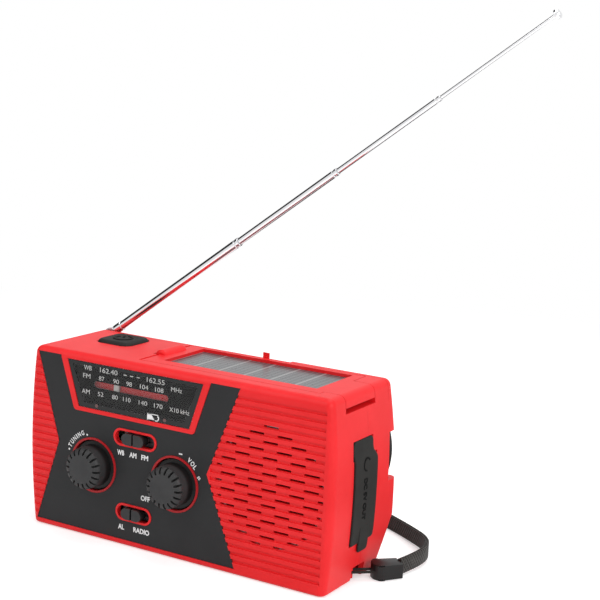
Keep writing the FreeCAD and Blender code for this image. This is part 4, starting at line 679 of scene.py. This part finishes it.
def model_clasp():
    length, width, height = (side * MM for side in CLASP_SIZE_MM)
    clear_selection()
    bpy.ops.mesh.primitive_cube_add(size=1, location=(0, 0, height / 2), scale=(length, width, height))
    piece = bpy.context.object
    bpy.ops.object.transform_apply(location=True, rotation=True, scale=True)
    bpy.ops.object.mode_set(mode="EDIT")
    select_where(piece, lambda face, middle: middle.x > length * 0.4)
    bpy.ops.transform.resize(value=(1, CLASP_TAPER, 0.94))
    select_where(piece, lambda edge, middle: middle.x < -length * 0.4 and abs(middle.y) > width * 0.4
                 and abs(edge.verts[0].co.z - edge.verts[1].co.z) > height * 0.5, "edges")
    bpy.ops.mesh.bevel(offset=NOSE_ROUND, segments=8)
    select_where(piece, lambda face, middle: face.normal.z > 0.9)
    bpy.ops.mesh.inset(thickness=0.0013)
    bpy.ops.transform.translate(value=(0, 0, 0.0003))
    select_where(piece, lambda face, middle: abs(face.normal.y) > 0.9 and abs(middle.x) < length * 0.4)
    bpy.ops.mesh.inset(thickness=0.0013, use_individual=True)
    bpy.ops.transform.resize(value=(1, 0.95, 1))
    bpy.ops.object.mode_set(mode="OBJECT")
    soft = piece.modifiers.new("soft", "BEVEL")
    soft.width = 0.0008
    soft.segments = 4
    soft.limit_method = "ANGLE"
    soft.angle_limit = math.radians(25)
    apply_all(piece)
    bpy.ops.object.shade_smooth_by_angle(angle=math.radians(35))
    piece.rotation_euler = (0, 0, CLASP_TURN)
    piece.location = (CLASP_AT_MM[0] * MM, CLASP_AT_MM[1] * MM, 0)
    return settle(piece, "wrist_clasp", "case", FINISHES["slider_black"],
                  ["strap_clasp"])


clasp = model_clasp()
print("clasp faces", len(clasp.data.polygons))

# %% [markdown]
# ## Rubber port cover
# One soft moulding closes the sockets in the right end: a root that stays in the wall, a crease, and a
# flap with a pull tab.  A grid is laid on the wall's curve row by row and given its thickness and soft
# edges.

# %% Port cover
WALL_REACH_MM, WALL_RADIUS_MM, WALL_MIDDLE_MM = 75.0, 305.45, 39.0
COVER_ROWS_MM = [(16.35, -8.3, 8.0, 0.62), (17.2, -8.9, 8.9, 0.80), (19.0, -8.9, 9.2, 0.80),
                 (46.0, -8.9, 9.2, 0.80), (49.8, -8.9, 9.1, 0.80), (51.4, -9.1, 8.0, 0.66),
                 (52.8, -9.5, 6.5, 0.46), (54.4, -9.6, 6.0, 0.36), (57.2, -9.6, 6.0, 0.32),
                 (58.3, -9.1, 5.5, 0.32), (58.7, -8.2, 4.6, 0.28)]
TAB_ROWS_MM = [(12.3, -1.9, 3.6, 0.85), (12.9, -2.6, 4.3, 1.05), (14.0, -2.9, 4.6, 1.10),
               (19.5, -2.9, 4.6, 1.20), (22.5, -2.6, 4.3, 1.00), (24.0, -2.0, 3.6, 0.60)]


def wall_x(z):
    """How far out the right end wall stands at a height, in millimetres."""
    return WALL_REACH_MM - WALL_RADIUS_MM + math.sqrt(WALL_RADIUS_MM ** 2 - (z - WALL_MIDDLE_MM) ** 2)


def between_rows(rows, z):
    """Front edge, back edge and height over the wall, read off the rows at a height."""
    for low, high in zip(rows, rows[1:]):
        if z <= high[0]:
            share = (z - low[0]) / (high[0] - low[0])
            return [a + (b - a) * share for a, b in zip(low[1:], high[1:])]
    return rows[-1][1:]


def lay_on_wall(rows, thick, steps=44, across=14):
    """A grid laid over the wall between the rows, with its thickness inwards and soft edges."""
    clear_selection()
    bpy.ops.mesh.primitive_grid_add(x_subdivisions=across, y_subdivisions=steps, size=1)
    piece = bpy.context.object
    low, high = rows[0][0], rows[-1][0]
    for vertex in piece.data.vertices:
        z = low + (vertex.co.y + 0.5) * (high - low)
        front, back, proud = between_rows(rows, z)
        y = front + (vertex.co.x + 0.5) * (back - front)
        vertex.co = ((wall_x(z) + proud) * MM, y * MM, z * MM)
    wall = piece.modifiers.new("thickness", "SOLIDIFY")
    wall.thickness = thick * MM
    wall.offset = -1.0
    soft = piece.modifiers.new("soft", "BEVEL")
    soft.width = 0.3 * MM
    soft.segments = 3
    soft.limit_method = "ANGLE"
    soft.angle_limit = math.radians(50)
    apply_all(piece)
    bpy.ops.object.shade_smooth_by_angle(angle=math.radians(50))
    return piece


cover = settle(join([lay_on_wall(COVER_ROWS_MM, 1.4), lay_on_wall(TAB_ROWS_MM, 0.7)]),
               "port_cover_rubber",
               None, FINISHES["rubber_dark"], ["port_cover", "port_cover_root"])
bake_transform(cover)
print("cover faces", len(cover.data.polygons))

# %% [markdown]
# ## Printed words and marks
# White ink stands a few hundredths of a millimetre proud of the panel and the window.  Each word is a
# text object turned to face -Y, made a mesh and joined with its neighbours into one print.

# %% Ink and a helper for words
INK = finish("white ink", (0.86, 0.86, 0.86), (0.78, 0.78, 0.78), 0.5, 0.15, 300, 3000, 0.05, 0.0)
WINDOW_INK = finish("grey ink on the window", (0.60, 0.60, 0.59), (0.50, 0.50, 0.49), 0.4, 0.15, 300,
                    3000, 0.05, 0.0)
WINDOW_FACE_MM = -24.7
INK_MM = 0.03
CAPITAL_HEIGHT = 0.729


def word(text, x, z, tall, wide, weight=0.0, turned=0.0, face=WINDOW_FACE_MM):
    """A word facing the front, its middle at x and z, as tall and wide as given, in millimetres."""
    clear_selection()
    bpy.ops.object.text_add(location=(0, 0, 0))
    piece = bpy.context.object
    piece.data.body = text
    piece.data.size = tall * MM / CAPITAL_HEIGHT
    piece.data.extrude = INK_MM * MM
    piece.data.offset = weight * MM
    pick(piece)
    bpy.ops.object.convert(target="MESH")
    piece = bpy.context.object
    bpy.ops.object.origin_set(type="ORIGIN_GEOMETRY", center="BOUNDS")
    piece.scale = (wide * MM / piece.dimensions.x, tall * MM / piece.dimensions.y, 1)
    piece.rotation_euler = (math.pi / 2, -turned, 0)
    piece.location = (x * MM, (face - INK_MM) * MM, z * MM)
    bpy.ops.object.transform_apply(location=True, rotation=True, scale=True)
    return piece


def bar(x, z, wide, tall, face=WINDOW_FACE_MM):
    """A printed stroke."""
    return block((x - wide / 2, face - 2 * INK_MM, z - tall / 2), (x + wide / 2, face, z + tall / 2))


def dot(x, z, radius, face=WINDOW_FACE_MM):
    """A printed round dot."""
    clear_selection()
    bpy.ops.mesh.primitive_cylinder_add(vertices=20, radius=radius * MM, depth=2 * INK_MM * MM,
                                        location=(x * MM, (face - INK_MM) * MM, z * MM),
                                        rotation=(math.pi / 2, 0, 0))
    return bpy.context.object


def print_shape(corners, face=WINDOW_FACE_MM):
    """A printed flat shape from its corners, in millimetres."""
    clear_selection()
    bpy.ops.mesh.primitive_circle_add(vertices=len(corners), radius=1, fill_type="NGON")
    piece = bpy.context.object
    for vertex, (x, z) in zip(piece.data.vertices, corners):
        vertex.co = (x * MM, (face - 2 * INK_MM) * MM, z * MM)
    bpy.ops.object.mode_set(mode="EDIT")
    bpy.ops.mesh.select_all(action="SELECT")
    bpy.ops.mesh.extrude_region_move(TRANSFORM_OT_translate={"value": (0, 2 * INK_MM * MM, 0)})
    bpy.ops.mesh.select_all(action="SELECT")
    bpy.ops.mesh.normals_make_consistent(inside=False)
    bpy.ops.object.mode_set(mode="OBJECT")
    return piece


# %% Words on the dial window
DIAL_WORDS = [
    ("WB", -43.7, 72.5, 1.9, 4.0), ("162.40", -32.8, 72.6, 2.0, 9.0), ("162.55", -8.9, 72.4, 2.0, 8.8),
    ("MHz", 1.5, 70.4, 1.8, 5.3), ("FM", -44.2, 69.0, 1.9, 3.8),
    ("87", -36.4, 69.0, 1.8, 2.8), ("90", -28.9, 69.0, 1.8, 2.9), ("98", -22.2, 69.0, 1.8, 2.8),
    ("104", -14.6, 69.0, 1.8, 4.1), ("108", -7.0, 69.0, 1.8, 4.1),
    ("AM", -44.6, 62.3, 1.9, 4.2), ("52", -36.8, 62.3, 1.8, 2.9), ("80", -29.3, 62.3, 1.8, 2.9),
    ("110", -23.2, 62.3, 1.8, 3.8), ("140", -15.0, 62.3, 1.8, 4.2), ("170", -7.3, 62.3, 1.8, 4.2),
    ("X10 kHz", 3.1, 62.0, 1.8, 9.7)]
SIGN_FACE_MM = WINDOW_FACE_MM - 2 * INK_MM
dial_print = [word(*entry, weight=-0.012, face=SIGN_FACE_MM) for entry in DIAL_WORDS]
dial_print += [bar(x, 72.4, 1.5, 0.34, SIGN_FACE_MM) for x in (-24.3, -21.0, -17.6)]
dial_print = settle(join(dial_print), "dial_words", "case", WINDOW_INK)
print("dial words", len(DIAL_WORDS), "faces", len(dial_print.data.polygons))

# %% Battery sign, lamp dots and the window's black border
SIGN_STROKES = [(-9.9, 58.45, 4.8, 0.32), (-9.9, 56.0, 4.8, 0.32), (-7.35, 57.95, 0.32, 1.0),
                (-7.35, 56.3, 0.32, 0.7), (-7.0, 57.15, 0.4, 1.3)]
battery_sign = [print_shape([(-12.7, 58.6), (-10.9, 58.6), (-8.8, 55.85), (-12.7, 55.85)],
                            SIGN_FACE_MM)]
battery_sign += [bar(*stroke, SIGN_FACE_MM) for stroke in SIGN_STROKES]
battery_sign = settle(join(battery_sign), "battery_sign", "case", INK)
LAMP_DOT = finish("unlit lamp", (0.13, 0.06, 0.058), (0.10, 0.05, 0.048), 0.35, 0.1, 300, 3000, 0.05,
                  0.0)
lamp_dots = join([dot(x, 57.0, 0.75, SIGN_FACE_MM) for x in (-38.8, -4.0)])
lamp_dots = settle(lamp_dots, "lamp_dots", "case", LAMP_DOT)

FRAME_MIDDLE_MM, LOW_HALF_MM, HIGH_HALF_MM, WINDOW_LOW_MM, WINDOW_HIGH_MM = -20.0, 28.2, 34.5, 55.4, 75.0


def window_corners(side_in, low_in, high_in):
    """The window's four corners, drawn in at its sides, its foot and its top."""
    return [(FRAME_MIDDLE_MM + side * (half - side_in), z) for side, half, z in (
        (-1, LOW_HALF_MM, WINDOW_LOW_MM + low_in), (1, LOW_HALF_MM, WINDOW_LOW_MM + low_in),
        (1, HIGH_HALF_MM, WINDOW_HIGH_MM - high_in), (-1, HIGH_HALF_MM, WINDOW_HIGH_MM - high_in))]


outer, inner = window_corners(0.3, 0.3, 0.3), window_corners(2.9, 2.3, 1.8)
border = [print_shape([outer[k], outer[(k + 1) % 4], inner[(k + 1) % 4], inner[k]]) for k in range(4)]
border = join(border)
pick(border)
bpy.ops.object.mode_set(mode="EDIT")
bpy.ops.mesh.select_all(action="SELECT")
bpy.ops.mesh.remove_doubles(threshold=0.000005)
bpy.ops.object.mode_set(mode="OBJECT")
border = settle(border, "window_border", "case", WINDOW_BLACK)
print("battery sign", len(battery_sign.data.polygons), "border", len(border.data.polygons))

# %% Words on the panel
PANEL_WORDS = [
    ("WB", -25.8, 39.5, 2.2, 3.6), ("AM", -19.5, 39.5, 2.2, 3.6), ("FM", -13.5, 39.5, 2.2, 3.5),
    ("AL", -24.8, 7.8, 2.2, 3.1), ("RADIO", -14.4, 7.9, 2.2, 8.1), ("OFF", -12.7, 22.3, 2.2, 4.5)]
panel_print = [word(*entry, weight=0.10) for entry in PANEL_WORDS]
LETTER_WIDE_MM = {"T": 1.4, "U": 1.35, "N": 1.4, "I": 0.45, "G": 1.45, "V": 1.6, "O": 1.65, "L": 1.2}


def word_round(text, centre, radius, angles, tall):
    """Letters standing round a knob, each turned to its place; angles in degrees from +X."""
    pieces = []
    for letter, degrees in zip(text, angles):
        angle = math.radians(degrees)
        x, z = centre[0] + radius * math.cos(angle), centre[1] + radius * math.sin(angle)
        pieces.append(word(letter, x, z, tall, LETTER_WIDE_MM[letter], 0.06, angle - math.pi / 2))
    return pieces


panel_print += word_round("TUNING", TUNING_AT, 14.1, (153.2, 144.8, 136.4, 130.0, 123.6, 115.2), 2.0)
panel_print += word_round("VOL", VOLUME_AT, 13.4, (57.6, 49.4, 41.4), 2.1)
panel_print += [dot(-53.0, 36.0, 0.45), dot(-43.5, 43.8, 0.42), bar(4.3, 44.5, 1.7, 0.5),
                bar(13.5, 36.3, 1.5, 0.55), bar(13.5, 36.3, 0.55, 1.5)]
panel_print = settle(join(panel_print), "panel_words", "case", INK)
print("panel words", len(PANEL_WORDS), "faces", len(panel_print.data.polygons))

# %% [markdown]
# ## Raised marks in the rubber
# The light button carries a raised power ring, and the port cover a bow and a short word.  They are
# low relief in the same soft plastic, made darker with painted shade.

# %% Marks on the light button and the port cover
# Painted shade: the raised marks are coloured darker than the rubber they stand on.
SHADED_MARK = finish("rubber mark with painted shade", (0.005, 0.005, 0.005), (0.003, 0.003, 0.003), 0.45, 0.12,
              200, 3000, 0.06, 0.0, Specular_IOR_Level=0.06)
BUTTON_AT_MM, BUTTON_TOP_MM = (-49.5, 6.2), 79.3


def open_ring(radius, thick, gap, turned):
    """A flat-lying ring with an opening: gap and turned in degrees, the opening's middle at turned."""
    clear_selection()
    bpy.ops.mesh.primitive_torus_add(major_radius=radius * MM, minor_radius=thick * MM,
                                     major_segments=72, minor_segments=10)
    ring = bpy.context.object
    bpy.ops.object.mode_set(mode="EDIT")
    select_where(ring, lambda face, middle: abs(math.degrees(math.atan2(middle.y, middle.x))) < gap / 2)
    bpy.ops.mesh.delete(type="FACE")
    bpy.ops.mesh.select_all(action="SELECT")
    bpy.ops.mesh.region_to_loop()
    bpy.ops.mesh.edge_face_add()
    bpy.ops.object.mode_set(mode="OBJECT")
    ring.rotation_euler = (0, 0, math.radians(turned))
    pick(ring)
    bpy.ops.object.transform_apply(location=False, rotation=True, scale=False)
    return ring


RING_OPENS_AT = 120
STEM_LOW_MM, STEM_HIGH_MM = 1.2, 4.6
ring = open_ring(3.9, 0.75, 62, RING_OPENS_AT)
clear_selection()
bpy.ops.mesh.primitive_uv_sphere_add(segments=20, ring_count=12, radius=0.7 * MM)
stem = bpy.context.object
way = Vector((math.cos(math.radians(RING_OPENS_AT)), math.sin(math.radians(RING_OPENS_AT)), 0))
for vertex in stem.data.vertices:
    vertex.co += way * (STEM_HIGH_MM if vertex.co.dot(way) > 0 else STEM_LOW_MM) * MM
power_ring = join([ring, stem])
power_ring.scale = (1, 1, 0.4)
power_ring.location = (BUTTON_AT_MM[0] * MM, BUTTON_AT_MM[1] * MM, BUTTON_TOP_MM * MM)
pick(power_ring)
bpy.ops.object.shade_smooth_by_angle(angle=math.radians(60))
power_ring = settle(power_ring, "power_ring", "light_button", SHADED_MARK)

COVER_FACE_MM = 0.80


def on_cover(piece, flatten):
    """Bend a mark drawn round x = 0 onto the cover's curve, flattened to a low relief."""
    for vertex in piece.data.vertices:
        vertex.co.x = vertex.co.x * flatten + (wall_x(vertex.co.z / MM) + COVER_FACE_MM) * MM
    return piece


bow = open_ring(2.5, 0.42, 130, 60)
bow.rotation_euler = (0, math.pi / 2, 0)
bow.location = (0, 0.2 * MM, 48.2 * MM)
pick(bow)
bpy.ops.object.transform_apply(location=True, rotation=True, scale=True)
cover_word = word("DC 5V OUT", 0, 0, 2.7, 17.0, weight=0.12, face=INK_MM)
cover_word.rotation_euler = (0, math.pi / 2, math.pi / 2)
cover_word.location = (0, -0.6 * MM, 34.2 * MM)
pick(cover_word)
bpy.ops.object.transform_apply(location=True, rotation=True, scale=True)
cover_marks = settle(join([on_cover(bow, 0.6), on_cover(cover_word, 5.0)]), "cover_marks", "port_cover",
                     SHADED_MARK)
print("marks", len(power_ring.data.polygons), len(cover_marks.data.polygons))

# %% [markdown]
# ## Stage
# A white floor keeps a soft shadow.  Seen straight from the camera, or in metal and glass, floor and
# background are plain white, except for a painted shadow on the floor behind the radio that only
# glossy rays see; the lamps and the world light the radio at a plain level.  Far to the
# left hangs a dark flag, which only polished metal reflects, as studios hang one beside chrome.

# %% Floor and world
NEAR_GLOW = 0.45
GLOW_FROM, GLOW_TO = 0.22, 0.6
# Painted shadow on the floor behind the radio, seen only by glossy rays: its middle and its two radii.
SHADE_AT = (0.085, 0.165, 0.0)
SHADE_OUTER, SHADE_INNER = 0.135, 0.09
FLAG_AT = (-0.9163, 0.0996, 0.3884)
FLAG_EDGE, FLAG_FULL = 0.76, 0.88


def plain_rays(tree):
    """The light path, and a mask of camera, glossy and transmitted rays."""
    rays = add_node(tree, "ShaderNodeLightPath")
    mask = rays.outputs["Is Camera Ray"]
    for name in ("Is Glossy Ray", "Is Transmission Ray"):
        either = add_node(tree, "ShaderNodeMath", {"operation": "MAXIMUM"})
        link(tree, mask, either.inputs[0])
        link(tree, rays.outputs[name], either.inputs[1])
        mask = either.outputs[0]
    return rays, mask


def white_floor():
    """A floor that is plain white far away and keeps a soft shadow near the radio, with a painted shadow
    behind it that only glossy rays see.
    """
    clear_selection()
    bpy.ops.mesh.primitive_plane_add(size=12, location=(0, 0, -0.0002))
    floor = bpy.context.object
    floor.name = "floor"
    material = bpy.data.materials.new("floor")
    material.use_nodes = True
    tree = material.node_tree
    shader = tree.nodes["Principled BSDF"]
    shader.inputs["Roughness"].default_value = 0.9
    shader.inputs["Specular IOR Level"].default_value = 0.0
    shader.inputs["Emission Color"].default_value = (1, 1, 1, 1)
    rays, seen = plain_rays(tree)
    place = add_node(tree, "ShaderNodeTexCoord")
    reach = add_node(tree, "ShaderNodeVectorMath", {"operation": "LENGTH"})
    link(tree, place.outputs["Object"], reach.inputs[0])
    away = add_node(tree, "ShaderNodeMapRange", {"interpolation_type": "SMOOTHSTEP"},
                    From_Min=GLOW_FROM, From_Max=GLOW_TO)
    link(tree, reach.outputs["Value"], away.inputs["Value"])
    far_seen = add_node(tree, "ShaderNodeMath", {"operation": "MULTIPLY"})
    link(tree, away.outputs["Result"], far_seen.inputs[0])
    link(tree, seen, far_seen.inputs[1])
    # Painted shadow: for glossy rays the floor behind the radio turns near black and loses its glow.
    apart = add_node(tree, "ShaderNodeVectorMath", {"operation": "DISTANCE"})
    link(tree, place.outputs["Object"], apart.inputs[0])
    apart.inputs[1].default_value = SHADE_AT
    behind = add_node(tree, "ShaderNodeMapRange", {"interpolation_type": "SMOOTHSTEP"},
                      From_Min=SHADE_OUTER, From_Max=SHADE_INNER)
    link(tree, apart.outputs["Value"], behind.inputs["Value"])
    shade = add_node(tree, "ShaderNodeMath", {"operation": "MULTIPLY"})
    link(tree, behind.outputs["Result"], shade.inputs[0])
    link(tree, rays.outputs["Is Glossy Ray"], shade.inputs[1])
    near = mix_colours(tree, shade.outputs[0], (0.82, 0.82, 0.82, 1.0), (0.04, 0.04, 0.04, 1.0))
    link(tree, mix_colours(tree, far_seen.outputs[0], near, (0.0, 0.0, 0.0, 1.0)),
         shader.inputs["Base Color"])
    near_glow = multiply_add(tree, shade.outputs[0], -NEAR_GLOW, NEAR_GLOW)
    level = add_node(tree, "ShaderNodeMix", {"data_type": "FLOAT"})
    link(tree, away.outputs["Result"], level.inputs["Factor"])
    link(tree, near_glow, level.inputs["A"])
    level.inputs["B"].default_value = 1.0
    glow = add_node(tree, "ShaderNodeMath", {"operation": "MULTIPLY"})
    link(tree, seen, glow.inputs[0])
    link(tree, level.outputs["Result"], glow.inputs[1])
    link(tree, glow.outputs[0], shader.inputs["Emission Strength"])
    floor.data.materials.append(material)
    clear_selection()


def white_world(strength):
    """White to the eye, and a plain level of light, with the dark flag for polished metal."""
    world = bpy.data.worlds.new("studio")
    bpy.context.scene.world = world
    world.use_nodes = True
    tree = world.node_tree
    back = tree.nodes["Background"]
    back.inputs["Color"].default_value = (1, 1, 1, 1)
    rays, seen = plain_rays(tree)
    level = multiply_add(tree, seen, 1.0 - strength, strength)
    place = add_node(tree, "ShaderNodeTexCoord")
    towards = add_node(tree, "ShaderNodeVectorMath", {"operation": "DOT_PRODUCT"})
    link(tree, place.outputs["Generated"], towards.inputs[0])
    towards.inputs[1].default_value = FLAG_AT
    flag = add_node(tree, "ShaderNodeMapRange", {"interpolation_type": "SMOOTHSTEP"},
                    From_Min=FLAG_EDGE, From_Max=FLAG_FULL, To_Min=0.0, To_Max=0.97)
    link(tree, towards.outputs["Value"], flag.inputs["Value"])
    shaded = add_node(tree, "ShaderNodeMath", {"operation": "MULTIPLY"})
    link(tree, flag.outputs["Result"], shaded.inputs[0])
    link(tree, rays.outputs["Is Glossy Ray"], shaded.inputs[1])
    kept = add_node(tree, "ShaderNodeMath", {"operation": "SUBTRACT"})
    kept.inputs[0].default_value = 1.0
    link(tree, shaded.outputs[0], kept.inputs[1])
    final = add_node(tree, "ShaderNodeMath", {"operation": "MULTIPLY"})
    link(tree, level, final.inputs[0])
    link(tree, kept.outputs[0], final.inputs[1])
    link(tree, final.outputs[0], back.inputs["Strength"])


white_floor()
white_world(0.52)


def soft_lamp(name, place, aim, size, watts):
    """A square area lamp pointed at a spot."""
    data = bpy.data.lights.new(name, "AREA")
    data.shape = "SQUARE"
    data.size = size
    data.energy = watts
    lamp = bpy.data.objects.new(name, data)
    lamp.location = place
    lamp.rotation_euler = (Vector(aim) - Vector(place)).to_track_quat("-Z", "Y").to_euler()
    bpy.context.scene.collection.objects.link(lamp)


CENTRE = (0.0, 0.0, 0.05)
soft_lamp("key", (-0.45, -0.75, 0.95), CENTRE, 0.6, 3.4)
soft_lamp("fill", (0.85, -0.35, 0.45), CENTRE, 0.5, 4.4)
soft_lamp("top", (0.1, 0.25, 1.1), CENTRE, 0.7, 5.0)
bpy.context.scene.view_settings.view_transform = "Standard"
print("stage ready")
